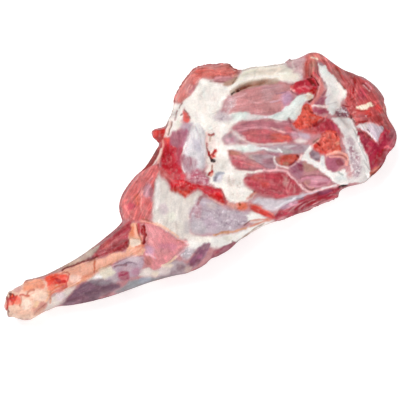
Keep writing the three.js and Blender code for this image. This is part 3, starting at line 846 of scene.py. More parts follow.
# The seam's grey-brown lines along the leg's near outline are painted shade.
strokes("orange seam and painted shade", """
    #D9A07E 2.2 214,235 222,233 230,232 238,230 246,228
    #C08868 1.3 216,234 222,232 228,231
    #DA927E 2.2 250,227 255,225 262,222 270,220
    #D4806C 1.8 251,221 258,220 268,219
    #F0DAD2 1.4 254,223 262,221
    #7A4A4A 1.9 244,225 247,223 250,221
    #A88878 1.4 241,239 246,235 252,231 258,227 264,224
    #7A6460 1.7 233,241 236,243 240,240""", cover=0.85)
tones("border", """
    #DED7CE 2 224,236 233,236 232,240 225,241
    #F6EEE4 2 194,237 212,237 210,241 195,242""")
patch("purple muscle", "#8C5A70",
      "187,266 190,270 195,267 200,262 206,257 208,251 211,244 205,243 200,246 196,250 193,256 190,260",
      soft=1.6, rise=1.5, swell=5, seam=0.6, grain=-55, streak=0.4, wisp=0.6)
tones("purple muscle", """
    #B0688A 2 196,255 201,254 201,259 197,259
    #7C4454 2 195,260 201,260 199,264 195,264
    #84505E 2 189,263 194,263 192,268 189,268
    #9E7884 2 201,245 208,243 209,248 202,249""")
BUBBLY_FILM = "179,255 183,250 190,248 196,249 193,253 190,258 185,260"
patch("bubbly film", "#BDB2B8", BUBBLY_FILM, film=0.15)
flecks("bubbles", "#EDE4E8", BUBBLY_FILM, 1.5, 0.18, cover=0.7)
patch("red strip", "#985060",
      "211,258 213,252 218,249 224,246 229,244 236,241 236,244 230,249 222,254 215,258", soft=1.4,
      grain=-32, streak=0.5, wisp=0.6)
tones("red strip", """
    #A86A7A 1.8 222,248 229,245 230,248 224,251
    #923A48 1.6 214,252 221,251 219,255 215,256""")
patch("near grey", "#B9A6AB", "158,272 166,264 174,260 183,261 188,264 189,270 182,274 170,276 160,278",
      soft=3, film=0.1)
tones("near mauve", """
    #8E7078 2.5 176,266 181,264 186,266 185,271 178,272
    #9A8088 2.5 168,270 177,270 177,275 169,276
    #C0A49C 2 185,267 191,266 191,272 185,273""")
# The grey foot runs along the leg's near outline: painted shade where the surface turns under.
band("grey foot in painted shade", "#8F8A90", "152,280 164,277 176,275 186,273", 1.6, soft=1.6, cover=0.6)
say_laid("near edge behind the arm")

# %% [markdown]
# Behind the lower belly hangs the rear flap, a long strip of streaked red muscle with a ragged end. Its
# fibres run along it, and a grey film still covers its left part.

# %% Lay the rear flap
patch("orange patch", "#E1745B", "236,204 240,202 246,202 249,206 246,210 240,211 236,208", wisp=0.6)
patch("pink beside it", "#E8AA9C", "226,204 232,203 238,205 237,210 230,209", soft=2.5, cover=0.8)
band("brown dot", "#8A4A34", "239,203 240,205", 1.6)
patch("spur", "#DD8C7F", "246,199 250,195 254,192 258,190 257,193 252,197 248,200", soft=1.5, cover=0.9,
      wisp=0.6)
band("spur's dark tip", "#7E3A34", "254,192 255,191", 1.6)
patch("red strip of the flap", "#CA463F",
      "249,203 256,205 262,208 268,211 274,214 277,218 271,219 264,216 257,213 250,210", soft=1.5, rise=0.8,
      swell=3, grain=27, streak=0.5, wisp=0.6)
band("strip's light edge", "#E58F7E", "250,204 258,206 266,210 273,214", 1.2, cover=0.6)
band("strip's dark end", "#9E2C36", "268,213 273,217", 2, cover=0.7)
patch("grey film", "#D6CBD1",
      "250,201 260,197 270,199 280,199 290,197 300,194 306,194 300,199 290,204 280,208 273,212 264,208 "
      "256,204", film=0.3, grain=-20)
FLAP = """
    274,220 277,213 282,208 290,204 300,199 310,195 320,191 330,189 337,188 341,187 340,190 338,192
    340,193 337,196 331,199 325,201 318,204 310,208 300,213 292,217 284,220"""
patch("flap", "#A83C4A", FLAP, soft=1.6, rise=1.6, swell=4, seam=0.6, grain=-21, streak=0.9, wisp=0.6)
tones("flap", """
    #9C5472 2 317,192 326,190 332,190 331,194 320,195
    #A63240 2 318,196 333,192 334,195 320,200
    #AA2E3A 2 303,202 320,197 321,201 306,205
    #C8A8BC 2 279,208 290,204 297,201 296,204 284,209""")
hairs("flap fibres", ("#D99AA0", "#8E2030", "#C96A72", "#E3B5B8"), FLAP, -21, 30, length=14, cover=0.4)
strokes("flap's lines", """
    #C9BFCB 1.8 286,202 296,198 308,194 318,191
    #EAE4E8 1.8 276,208 286,202 296,198
    #8E7484 1.6 297,199 303,198
    #A8A0A4 1.4 287,200 292,199""")
# The black in the gap between the flap and the rim is painted shade.
patch("black painted shade in the gap", "#1C0909", "337,188 341,186 345,185 350,185 345,187 340,188", soft=1, rise=-2, swell=1,
      wisp=0.6)
say_laid("rear flap")

# %% [markdown]
# In the middle of the blade two red bellies lie one inside the other, edged by thin pale lines.

# %% Lay the middle bellies
RIM_BELLY = """
    233,128 236,126 242,124 247,122 252,120 262,119 275,118 285,119 290,121 293,127 298,132 300,139
    292,142 262,143 246,140 236,135"""
patch("rim of the middle belly", "#B87680", RIM_BELLY, rise=2.2, swell=7, seam=0.9, grain=2, streak=0.5)
tones("rim belly", """
    #B07078 2 258,120 268,120 268,123 259,123
    #B4908C 1.6 264,119 275,118 275,121 265,121
    #CBAEAC 1.6 275,118 283,119 282,122 275,122
    #C4666C 2.5 284,127 292,128 294,132 286,132
    #C8A0AC 2.5 291,133 299,133 300,138 293,137""")
strokes("rim belly's dark spots", """
    #A04E58 1.1 246,130 256,130 266,130 272,130""", rise=-0.4)
patch("red middle belly", "#C25E68",
      "241,135 246,132 252,130 262,130 270,130 278,132 285,134 291,138 293,141 288,142 278,143 268,143 "
      "258,143 250,141 245,139", soft=1.6, rise=1.8, swell=5, seam=0.4, grain=4, streak=0.4, wisp=1)
tones("middle belly", """
    #C8666A 3 248,132 257,131 257,138 249,138
    #C05864 3 258,132 269,132 269,139 259,140
    #D8645A 2.5 271,135 281,134 283,140 281,142 272,142
    #DE6E60 2.5 281,136 289,137 290,140 283,141""")
strokes("lines round the middle belly", """
    #DC98A2 2.4 238,132 244,130 249,128 256,128 264,128 271,128
    #F0B8B4 1.8 272,128 275,130 279,131 284,133
    #EACCC8 1.7 246,141 251,143 258,144 266,144 276,144 286,143""", rise=0.4)
say_laid("middle bellies")

# %% [markdown]
# Round them the film shows: a mauve wedge at the left, a pale spot at the right, and below them a white
# band that turns grey-mauve.

# %% Lay the film below the middle bellies
tones("mauve wedge", """
    #C4A4AC 2.5 222,138 225,135 231,134 239,137 238,142 228,144 223,142
    #A08C90 1.6 228,134 232,134 232,137 229,137
    #E8B4C2 1.3 225,139 229,139 228,142 226,141
    #B88090 1.8 230,138 234,138 234,142 231,142""")
tones("white haze of the wedge", """
    #F3E6E2 2.4 230,130 234,131 240,135 246,140 241,140 235,135""", cover=0.7)
strokes("streaks of the wedge", """
    #B8A6AA 1.3 238,141 244,143 250,143""")
patch("pale spot", "#EFE7E3", "294,140 300,138 308,139 306,142 297,143", cover=0.85)
patch("lilac beside it", "#C3B2C0", "297,134 303,133 312,134 312,139 303,139", soft=2.5, cover=0.8)
patch("white film band", "#F3F0EC",
      "222,146 230,144 240,144 252,145 262,146 264,149 256,151 246,151 236,150 228,149", rise=-0.8)
GREY_BAND = "254,146 268,146 284,145 300,144 308,144 310,149 304,153 292,154 278,153 262,152"
patch("grey-mauve band", "#B8A4AA", GREY_BAND, soft=2.5, film=0.1)
tones("band", """
    #DDE4DC 2 239,147 247,147 248,151 240,151
    #DEE0DD 2 247,145 256,145 256,151 248,150
    #AE8A94 2 289,144 303,144 303,150 290,150
    #B6B2AE 1.6 282,150 293,150 292,153 283,153""")
strokes("white streaks of the band", """
    #F2F0F0 2 255,148 262,148 267,149
    #E2E2E0 1.8 266,149 272,150 278,151
    #F4F6F4 2 278,149 280,150 282,152
    #D2C4C6 1.2 262,145 272,145
    #CFC2C6 1.1 284,147 296,146""")
say_laid("film below the middle bellies")

# %% [markdown]
# The third belly is brownish orange at the start of its crest. A small oval one sits at its right, inside a
# white arc.

# %% Lay the third belly and the small oval
THIRD_BELLY = """
    229,150 234,151 242,154 250,158 258,162 264,166 268,169 262,170 250,170 240,169 235,167 232,163
    231,157"""
patch("third belly", "#C06A72", THIRD_BELLY, rise=2, swell=5, seam=0.8, grain=12, streak=0.5)
tones("third belly", """
    #C88A7A 1.8 228,150 233,151 239,153 241,155 235,156 229,154
    #BCA49C 2 248,155 256,156 258,159 251,160
    #C25C68 2 233,160 241,161 242,165 235,165
    #C47272 2 246,164 257,163 258,167 248,167""")
strokes("third belly's streaks", """
    #DC9292 1.4 234,156 238,158 244,159
    #D4848A 1.2 234,160 241,160
    #D88C8E 1.2 240,163 246,164
    #8E5C62 1.4 235,168 241,169 250,169 257,169 263,169
    #B06068 1.1 242,166 250,167""")
patch("mauve beside the third belly", "#AC848E",
      "250,156 260,154 272,155 279,156 276,161 277,168 270,170 263,167 256,161", soft=2, grain=4,
      streak=0.4)
tones("mauve", """
    #BEA8AE 2 262,155 275,155 274,158 263,158
    #A87484 1.4 268,153 279,153 279,155 269,155
    #9E7C86 1.8 255,156 262,156 262,160 256,160
    #A4727C 2 262,160 273,159 274,163 263,163""")
strokes("white lines below it", """
    #F1E9E2 2.2 233,171 242,172 254,172 262,171
    #F4BEC2 1.7 264,170 270,171 279,170 288,172
    #F0C0C2 1.9 277,164 277,171""", cover=0.9, rise=0.4)
patch("small oval", "#C65C50",
      "278,161 280,157 285,155 292,154 298,154 301,156 299,159 296,162 292,165 287,166 283,165 279,163",
      soft=1.2, rise=1.6, swell=4, seam=0.6, grain=0, streak=0.3, wisp=0.6)
tones("oval", """
    #B8786C 1.6 276,158 280,157 280,163 277,162
    #C04A46 1.4 281,159 285,159 285,162 281,162
    #A87A6A 1.4 284,163 289,163 288,166 284,165
    #7E3838 1.2 296,155 301,155 299,158 296,158""")
strokes("oval's dark edge", """
    #6E2624 1.7 289,165 293,164 295,162 296,160""", rise=-0.6)
strokes("white arc round the oval", """
    #EEDAD6 1.9 275,157 274,160 276,164 279,166 283,167 288,168
    #F8D2CE 2 290,168 294,166 300,160 302,155""", cover=0.9, rise=0.8)
say_laid("third belly and the small oval")

# %% [markdown]
# The lower belly is a darker red, with light marks at its right end and a pale line along that side, where
# a mauve muscle lies.

# %% Lay the lower belly
patch("mauve muscle", "#A87080", "288,167 294,164 300,160 304,163 304,172 302,180 297,179 292,174", soft=3,
      grain=40, streak=0.4, film=0.15)
LOWER_BELLY = """
    245,179 248,176 254,175 262,174 265,172 278,172 287,173 291,176 295,180 299,185 300,189 300,194
    292,196 284,198 277,199 270,197 264,195 257,192 251,189 248,186"""
patch("lower belly", "#B8505A", LOWER_BELLY, rise=2.8, swell=8, seam=1, grain=10, streak=0.4)
tones("lower belly", """
    #BA5A58 2 250,176 262,175 262,181 252,180
    #BE4A46 2.5 260,181 268,181 268,187 261,187
    #B44650 3 273,175 281,176 282,187 274,187
    #C08A86 2.5 283,177 287,178 287,185 283,185""")
strokes("lower belly's light marks", """
    #E08E94 1.5 247,180 250,181 254,182
    #E2A6A4 1.1 281,175 285,179
    #E6B0AC 1.1 287,175 285,180
    #DEA2A2 1.1 289,179 287,185
    #E0A8A8 1.2 291,182 289,189
    #E6B4B2 1.1 294,184 293,192
    #DC9C9C 1.1 283,188 289,192
    #D88A90 1.2 256,186 264,190
    #DC9498 1.1 270,190 278,192
    #DFA0A0 1.3 286,184 286,190 288,194
    #DFA4A2 1.2 290,184 294,188 294,192""", cover=0.32)
strokes("lower belly's dark marks", """
    #943C46 1.3 280,185 284,188
    #98424A 1.2 258,178 266,178
    #9E3E44 1.2 268,188 276,189""")
strokes("belly's right border", """
    #F2C6C8 1.9 288,173 292,177 295,179 298,183 303,189""", cover=0.85, rise=0.5)
say_laid("lower belly")

# %% [markdown]
# Beside the lower belly lies a pink tongue, parted from the torn muscle by a white fork of fascia.

# %% Lay the tongue and the white fork
patch("brown triangle", "#BA8E84", "303,161 308,164 312,165 319,170 312,171 306,173 303,168", soft=1.5,
      wisp=0.6)
patch("tongue", "#C98696",
      "301,179 303,176 310,175 318,175 325,176 330,178 331,181 329,184 322,186 316,188 311,189 306,188 "
      "303,185", soft=1.4, rise=1.8, swell=5, seam=0.7, grain=-6, streak=0.4, wisp=0.6)
tones("tongue", """
    #DA9FAC 2 310,178 318,177 327,178 326,181 313,182
    #A85C6C 1.8 316,183 327,182 326,185 318,185
    #B8827E 1.6 303,180 310,180 310,184 305,184""")
FORK = """
    311,145 313,146 312,150 309,153 309,157 311,159 316,161 320,163 320,158 321,155 324,156 324,162
    325,166 328,170 334,172 340,171 344,169 348,172 347,178 350,184 343,185 336,184 332,180 328,176
    321,171 317,168 313,165 308,164 304,161 300,161 302,157 304,153 307,149"""
patch("white fork", "#F4EEEA", FORK, soft=1.4, rise=1, swell=3, wisp=0.6)
tones("fork's shades", """
    #DCDADB 1.4 320,155 324,156 324,165 321,165
    #DEE1DF 2 335,176 347,176 346,180 336,180
    #9A5A66 2 297,165 303,165 303,171 298,171""")
strokes("lines by the fork", """
    #F4C6C6 1.8 301,185 302,188 306,191 310,192 318,190 322,189
    #F0DEDE 2 322,188 329,187 336,185
    #E0A08F 1.2 305,183 307,186 311,187 314,188
    #F9B9B0 2 312,147 314,145 317,142 319,140""", cover=0.9, rise=0.5)
strokes("shadows by the fork", """
    #84423E 1.5 303,183 306,188 309,190 312,190 315,189
    #9A6468 1.2 301,178 305,176 312,175 320,175 326,176 330,179
    #A0A4A0 1.5 339,172 341,174 343,175
    #8A6A5E 1.6 314,142 316,140 318,138""", rise=-0.5)
say_laid("tongue and the white fork")

# %% [markdown]
# Along the shoulder blade's top edge the outermost rim is a thick red fold of muscle, streaked across its
# width and creased lengthwise. Its creases are painted dark as shade, and its folds carry painted highlights.

# %% Lay the red rim of the top edge
patch("top rim", "#BE5A5B",
      "304,60 309,54 313,52 319,53 324,55 328,60 334,65 341,69 349,72 356,76 364,79 371,83 377,89 382,96 "
      "385,104 387,114 391,123 396,134 397,141 393,148 387,154 382,163 376,171 368,180 364,172 362,158 "
      "356,140 352,124 346,112 343,102 346,92 338,82 330,72 322,64 316,60", soft=1.6, grain=58, streak=0.8)
patch("torn column", "#C5655E", "303,62 309,58 316,60 318,68 319,76 321,82 316,80 309,76 304,80", grain=86,
      streak=0.8, torn=0.3)
patch("olive in the column", "#B78B7C", "310,61 316,61 317,70 311,71", soft=2.5, cover=0.7)
patch("rim's crown", "#CF8078", "305,59 309,54 314,53 322,55 327,59 322,61 312,60", cover=0.8)
band("cream on the crown", "#F3DCC8", "311,58 317,59", 1.6, cover=0.8)
tones("rim", """
    #A8483F 2 334,65 341,70 341,80 337,79 331,71
    #B44C58 2 358,89 363,87 367,92 367,99 362,101 358,99
    #D84444 1.8 375,105 384,105 385,111 383,114 377,112 375,108
    #A84848 2 370,115 384,114 386,121 370,122""", grow=0)
patch("rim fold", "#C43C38", "351,114 356,110 364,110 371,110 372,116 369,121 362,122 356,122 352,119",
      soft=1.2, rise=2, swell=5, seam=0.8, grain=-8, streak=0.7, wisp=0.5)
patch("fold's shaded side", "#A4242C", "358,115 369,115 369,120 359,120", soft=1.6, cover=0.85, wisp=0.5)
patch("cream crescent", "#FCE4CE",
      "356,107 358,106 366,104 369,102 371,102 372,105 375,105 371,106 369,107 367,109 362,110 358,109 "
      "356,109", soft=1, rise=0.8, swell=2, wisp=0.4)
# The fold's upper lip is painted lighter as a highlight, while its lower side is painted shade.
patch("fold's painted highlit lip", "#FA9C96", "351,113 354,111 356,112 356,113 352,114", soft=1, wisp=0.4)
# The first, dark line is painted shade along the cartilage's edge, and the pale lines are partly painted
# highlights on the folds.
strokes("rim's streaks with painted highlight and shade", """
    #6E3A34 1.8 337,79 339,82 343,86 343,89 345,89
    #A83C38 2.6 355,77 355,82
    #D27074 1.6 352,80 352,85
    #DA7474 1.6 357,84 357,90 356,95 355,97
    #F0B8B8 1.4 364,85 367,88 370,91
    #D89AA4 1.4 366,83 370,86 372,89
    #D08A78 1.1 385,105 385,112""")
# The creases' dark red is painted shade in them.
strokes("rim's creases in painted shade", """
    #981C24 2 355,83 354,88 353,93
    #B02028 1.2 350,90 351,92 350,97
    #A02826 1.4 351,99 354,98 355,96
    #8E2A2E 1.4 343,105 346,106 349,106
    #7A3A42 1.3 363,83 367,86 369,89
    #8A1A20 1.8 358,121 362,121 367,120
    #7A3230 1.5 351,115 352,118 354,121 356,122""", cover=0.85, rise=-0.8)
say_laid("red rim of the top edge")

# %% [markdown]
# A bluish film and a white line part the fold from a deep red muscle below. Under the white line lies its
# painted shadow, and a brown line along the leg's outline is painted shade.

# %% Lay the film and the deep red muscle
# The crumpled film's dark mauve and its dark gaps are painted shade among its folds.
CRUMPLED_FILM = "335,109 341,106 347,108 350,114 345,118 338,117 334,113"
patch("crumpled film in painted shade", "#9A6C74", CRUMPLED_FILM, soft=1.5, torn=0.6, wisp=0.6)
flecks("film's white crests", "#E9E1E2", CRUMPLED_FILM, 1.6, 0.3)
flecks("film's dark gaps", "#704650", CRUMPLED_FILM, 1.6, 0.12)
patch("bluish film of the rim", "#BFAEB8",
      "357,125 362,123 368,123 374,124 378,126 385,127 382,132 379,139 378,144 375,140 371,136 366,132 "
      "362,129 357,127", soft=1.2, film=0.2, wisp=0.5)
patch("deep red muscle", "#AC3E50",
      "356,130 360,131 366,136 371,140 376,144 379,141 381,135 384,129 389,128 394,129 397,136 396,142 "
      "394,147 391,151 388,152 387,155 385,161 381,166 376,170 369,174 369,165 367,160 366,155 364,150 "
      "361,146 357,141", soft=1.2, rise=1.5, swell=7, seam=0.6, grain=-58, streak=0.5, wisp=0.5)
tones("muscle", """
    #DACCCA 1.4 357,125 362,123 368,123 368,129 363,128 357,127
    #B24C5E 2.5 359,135 366,137 369,144 363,146 360,141
    #A6283A 2.5 374,151 383,150 383,160 378,164 373,163
    #C8604A 1.4 369,171 373,168 378,165 381,166 376,171 372,175 369,178""", grow=0)
# The dark line under the white line is its painted shadow, and the last, brown line along the leg's outline
# is painted shade.
for colour, path, wide, rise in (
        ("#E8B4B4", "365,123 372,123 378,125", 1.5, 0),
        ("#F2DEE2", "362,129 366,131 370,134 373,138 376,141", 2, 0.4),
        ("#E4909C", "377,142 378,144", 1.8, 0),
        ("#7A2E36", "357,131 361,131 367,135 370,138 372,139", 1.8, -0.6),
        ("#7A3A4A", "367,130 369,132", 1.3, 0),
        ("#7E3A42", "357,132 357,138 359,142 362,147", 1.6, -0.3),
        ("#961018", "382,150 384,149", 2.2, -0.8),
        ("#E4727A", "384,147 387,146 388,147 391,148", 1.7, 0.4),
        ("#A02028", "385,149 390,150", 1.1, -0.4),
        ("#B86A72", "386,153 385,157 384,161 381,165", 1.3, 0),
        ("#D25050", "387,130 389,132", 2, 0),
        ("#5A2A1C", "367,179 372,176 377,171 381,167", 1.9, 0)):
    band("muscle's streaks and painted shade", colour, path, wide, cover=0.85, rise=rise)
say_laid("film and the deep red muscle")

# %% [markdown]
# The blade's cartilage lies bare inside the rim, white with a cool sheen and brighter at its edge. Lower down
# a pale band of fascia runs beside it, mauve in its hollow.

# %% Lay the cartilage
patch("cartilage", "#E9E5E1",
      "317,61 319,64 322,66 325,66 327,70 331,74 335,77 338,81 341,84 343,89 346,91 346,97 342,99 340,107 "
      "336,110 334,114 331,115 327,112 326,106 325,102 326,97 326,92 327,89 327,86 326,83 323,80 321,77 "
      "319,72 319,66", soft=1.2, rise=1.2, swell=3, wisp=0.6)
patch("cartilage's warm edge", "#F8EAE3",
      "336,79 339,82 342,89 346,91 346,97 341,99 340,107 336,110 338,99 340,93 337,86", soft=2.5, wisp=0.6)
patch("cartilage's lilac side", "#DCD2D8", "326,93 329,91 331,98 329,105 326,104", soft=2, cover=0.8)
for green in ("320,68 326,72 328,77 323,76", "329,89 337,90 338,96 331,95"):
    patch("cartilage's cool sheen", "#DEE8E2", green, soft=3, cover=0.7)
band("cartilage's shaded edge", "#8E4A42", "337,79 340,82 343,86 344,89", 1.5, cover=0.8, rise=-0.8)
# The grey crease and the darker gap at the tip are painted shade.
band("cartilage's crease in painted shade", "#BDB2B4", "327,105 331,104 336,103", 1.2, cover=0.7)
band("gap at its tip in painted shade", "#A88E94", "320,64 322,65", 2, soft=1.4, cover=0.8)
band("thin strip", "#F9DEDA", "312,106 319,106 327,107", 2.2, cover=0.95, rise=0.8)
band("pink fold", "#DA827E", "314,69 317,76 320,81 323,86 321,91 319,96 316,100 312,104", 3.6, soft=1.6,
     cover=0.9, rise=1.4)
band("fold's light edge", "#F2A8A0", "319,80 321,84 319,90 318,95", 1.2, cover=0.7)
# The dark gaps beside the fold are painted shade in them.
for gap in ("317,62 317,68 318,74 320,77", "325,82 327,86 327,89 325,92 322,95"):
    band("gap by the fold in painted shade", "#8A4652", gap, 1.2, cover=0.75, rise=-0.8)
patch("purple beside the fold", "#A86074", "317,101 322,96 325,96 325,101 324,105 316,105 314,104", soft=2,
      cover=0.85, film=0.15)
patch("plum below it", "#A34A5E", "312,108 320,108 328,109 329,114 320,114 312,112", soft=1.6, cover=0.9)
patch("pale band", "#E6DEDB",
      "330,119 336,118 344,117 351,118 354,122 357,129 358,138 362,147 366,156 369,165 370,176 366,182 "
      "358,183 350,183 347,176 349,168 350,158 346,149 343,140 341,131 336,124", soft=1.6, rise=0.8,
      swell=4)
BAND_HOLLOW = "344,139 351,137 354,146 358,155 361,166 361,177 352,178 349,167 350,157 346,148"
patch("band's mauve hollow", "#C3A6AF", BAND_HOLLOW, soft=3, cover=0.85)
patch("hollow's deep mauve", "#A87682", "350,146 354,147 358,157 356,162 352,155", soft=2.5, cover=0.8)
patch("hollow's pink foot", "#C98F90", "347,165 352,166 354,173 351,179 348,175", cover=0.85)
flecks("hollow's dark specks", "#756670", "354,166 361,166 361,177 354,176", 1.6, 0.2)
flecks("hollow's pale specks", "#EFE6E6", BAND_HOLLOW, 1.8, 0.25)
band("band's white strip", "#F3EDEA", "351,131 355,138 360,146 364,155 367,163 368,172", 4.6, soft=2,
     cover=0.85, rise=0.4)
band("band's inner line", "#EDE3E2", "342,138 346,147 349,156 350,164", 1.4, cover=0.7)
say_laid("cartilage")

# %% [markdown]
# Where the muscle was torn from the cartilage its red crags stand up, wet and ragged, with dark slits
# between them. A torn flap is the uppermost. The slits' dark red and the flap's darker lower right are
# painted shade.

# %% Lay the torn flap
TORN_FLAP = """
    289,89 292,85 297,82 303,81 307,77 312,76 316,80 319,86 317,90 316,94 311,95 304,94 297,95 294,91
    290,90"""
patch("torn flap", "#C44450", TORN_FLAP, soft=1.2, ragged=0.8, rise=2.5, swell=3, seam=1, grain=-35,
      torn=0.5, wisp=0.6)
# The second and third tones, in the slits and at the flap's lower right, are painted shade.
tones("torn flap", """
    #D4504E 1.6 289,89 292,85 295,85 294,89
    #8E1014 1.6 307,77 311,78 316,86 312,87 308,82
    #A01812 1.6 308,89 317,89 316,94 309,94
    #C85A5C 1.6 304,76 309,74 310,76 306,79""", grow=0, ragged=0.8, wisp=0.6)
# The slits' dark red is painted shade in them.
strokes("slit", """
    #72080E 2.2 312,76 316,81 319,85
    #78080F 2.6 308,79 311,83 315,86
    #A02C34 1.2 312,75 315,79""", soft=1, cover=0.95, rise=-1)
strokes("lit strand", """
    #CF5A60 1.3 313,78 315,82 318,85
    #E28088 1.5 302,88 305,87 308,89
    #F6A6A2 1.3 290,90 292,90 295,91
    #E06C74 1.2 298,89 303,91
    #E2606A 1.6 314,73 318,78""", cover=0.85, rise=1.2)
band("mauve hem", "#8A4E5E", "291,92 294,93 298,95", 1.5, cover=0.75)
say_laid("torn flap")

# %% [markdown]
# Below the flap a white sheet of fascia still holds on at the left. Right of it the upper tear is full of
# short bright strands and dark gaps, which are real ridges and pits. The gaps' dark red is painted shade in
# them, and the strands' brightness is partly painted highlight.

# %% Lay the white sheet and the upper tear
WHITE_SHEET = """
    268,117 280,112 288,106 295,99 300,95 308,93 313,95 313,98 309,101 304,102 303,107 301,114 297,119
    290,120 283,121 270,119"""
patch("white sheet", "#E0E4DF", WHITE_SHEET, soft=1.4, rise=1, swell=3, film=0.1)
patch("sheet's cream tip", "#F1CCB0", "305,95 311,94 313,97 310,101 306,100", cover=0.85, wisp=0.6)
hairs("white sheet's folds", ("#F8F6F2", "#C3C8C6"), WHITE_SHEET, -42, 26, length=9, wide=1.2, cover=0.4)
band("red crest", "#A83A2A", "317,90 316,95 314,99", 1.8, cover=0.85, rise=1)
band("crest's dark end", "#74281F", "312,100 309,102", 2, cover=0.85)
TORN_UPPER = """
    303,105 307,103 311,105 312,109 313,114 320,116 326,117 321,120 316,123 312,125 310,128 305,130
    300,130 295,127 293,123 296,118 301,114 302,109"""
patch("upper torn muscle", "#D84C42", TORN_UPPER, soft=1.2, ragged=0.9, rise=2.4, swell=3.5, seam=0.6,
      grain=30, torn=1, wisp=0.6)
tones("torn muscle", """
    #C04C3E 1.8 303,105 311,105 311,110 304,112
    #CE2C2A 1.8 301,118 304,119 303,126 301,124
    #D4665A 1.8 313,116 321,116 317,121 312,121
    #EC6A60 1.8 295,125 301,126 306,129 300,129""", grow=0, cover=0.8, ragged=0.8, wisp=0.6)
# Bright strands on the ridges are partly painted highlight.
for path in ("302,115 304,115 307,116", "305,112 307,111 309,112", "297,120 300,118 302,118",
             "304,120 307,118 309,120", "305,123 308,122 311,121", "304,128 306,126 308,127",
             "295,124 298,127 301,128", "306,115 308,117", "310,106 311,109", "298,122 300,125"):
    band("torn strand, partly painted highlight", "#F0695C", path, 1.2, cover=0.75, rise=1.4)
# Dark gaps in the pits are painted shade.
for path in ("310,112 313,113", "310,117 311,118", "309,127 310,127", "311,124 313,125",
             "304,117 306,118", "302,121 302,124", "307,121 310,121", "305,108 306,111"):
    band("torn gap in painted shade", "#9C1E1E", path, 1.7, soft=1, cover=0.85, rise=-1.6)
patch("maroon left of it", "#86383E", "287,118 290,118 291,121 290,124 288,122", soft=1.6, cover=0.8,
      wisp=0.6)
band("pink edge right of it", "#DE8480", "320,120 324,118 327,116", 1.6, cover=0.8, rise=0.8)
patch("rose muscle", "#BA4A55",
      "315,126 322,120 329,118 335,122 340,130 341,137 337,136 332,132 322,134 314,134 309,130", soft=2.5,
      grain=55, streak=0.3, torn=0.4)
patch("its mauve side", "#A84E64", "331,122 336,124 340,132 337,133 332,127", soft=3, cover=0.7)
patch("its coral foot", "#C9605E", "300,129 312,128 320,132 316,134 306,134", soft=3, cover=0.8)
# This dark gap is painted shade.
patch("gap below the tear in painted shade", "#A2242C", "322,120 318,122 314,123 312,126 316,127 320,124 325,121",
      soft=1.6, cover=0.85, rise=-1.5, swell=2, wisp=0.6)
say_laid("white sheet and the upper tear")

# %% [markdown]
# The lower tear is made in the same way, and two pale stripes run below it.

# %% Lay the lower tear
TORN_LOWER = """
    320,137 322,133 328,130 334,131 338,134 340,140 341,146 341,150 340,153 333,154 327,155 320,154
    315,151 313,147 315,144 318,141"""
patch("lower torn muscle", "#D44E47", TORN_LOWER, soft=1.4, ragged=1, rise=2.6, swell=3.5, grain=40, torn=1,
      wisp=0.6)
tones("lower tear", """
    #E2523E 1.8 334,147 341,147 341,151 335,151
    #F0A48E 1.8 334,143 340,141 340,145 336,145
    #F3A68E 1.8 330,151 340,151 339,154 331,154""", grow=0, cover=0.8, ragged=0.8, wisp=0.6)
# Bright strands on the ridges are partly painted highlight.
for path in ("327,133 329,136 328,139 326,140", "330,140 332,141 334,140", "322,147 325,145 329,144",
             "325,151 327,149 328,147", "333,135 335,137 335,139", "318,147 321,149", "316,149 319,151",
             "323,138 325,139", "329,150 332,149 333,146", "321,142 323,144", "327,152 330,151",
             "331,143 334,144", "337,136 339,139"):
    band("torn strand, partly painted highlight", "#F07A70", path, 1.2, cover=0.75, rise=1.5)
# Dark gaps in the pits are painted shade.
for path in ("322,134 323,137", "330,136 331,139", "323,142 325,143", "328,147 329,149", "331,147 332,149",
             "324,151 326,152", "336,134 336,136", "321,140 321,141", "326,141 328,142", "322,149 323,150"):
    band("torn gap in painted shade", "#A8262C", path, 1.6, soft=1, cover=0.85, rise=-1.6)
# The dark cut is painted shade in it.
band("lower cut in painted shade", "#86140F", "317,143 319,145", 2.4, cover=0.9, rise=-1.5)
# The first, dark slit is painted shade in it.
strokes("deep slits of the tear", """
    #8A1822 2.6 314,126 316,124 321,121 324,119
    #B8624E 1.5 335,155 341,155 345,157 347,159""", rise=-1)
tones("mauve-rose muscle", """
    #B0667A 1.2 325,159 330,157 336,157 342,159 345,162 344,165 340,166 338,169 335,172 330,170 326,166
    #9A545C 1.4 336,159 344,160 344,165 340,166 336,164""", cover=0.9)
strokes("stripes under the tear", """
    #F8B4A4 1.8 327,155 333,153 338,152 345,154 347,157 348,161 347,165
    #F6ACA2 1.6 330,157 336,157 340,157 344,158 346,161 346,164""", cover=0.9, rise=0.7)
tones("purple-grey by the fork", """
    #A08C96 1.6 310,153 314,151 319,153 320,158 319,161 312,159
    #BCA6AE 1.4 314,156 320,155 319,158 315,158
    #857078 1.2 315,159 320,159 320,161 315,161
    #8E7480 1.4 311,154 314,154 314,156 311,156""")
say_laid("lower tear")

# %% [markdown]
# At the elbow a triangle of pink muscle overlaps the forearm, with an orange rim and a dark cleft on its
# left, whose dark red is painted shade. Left of the cleft an orange wedge of fat leads down to the bone.

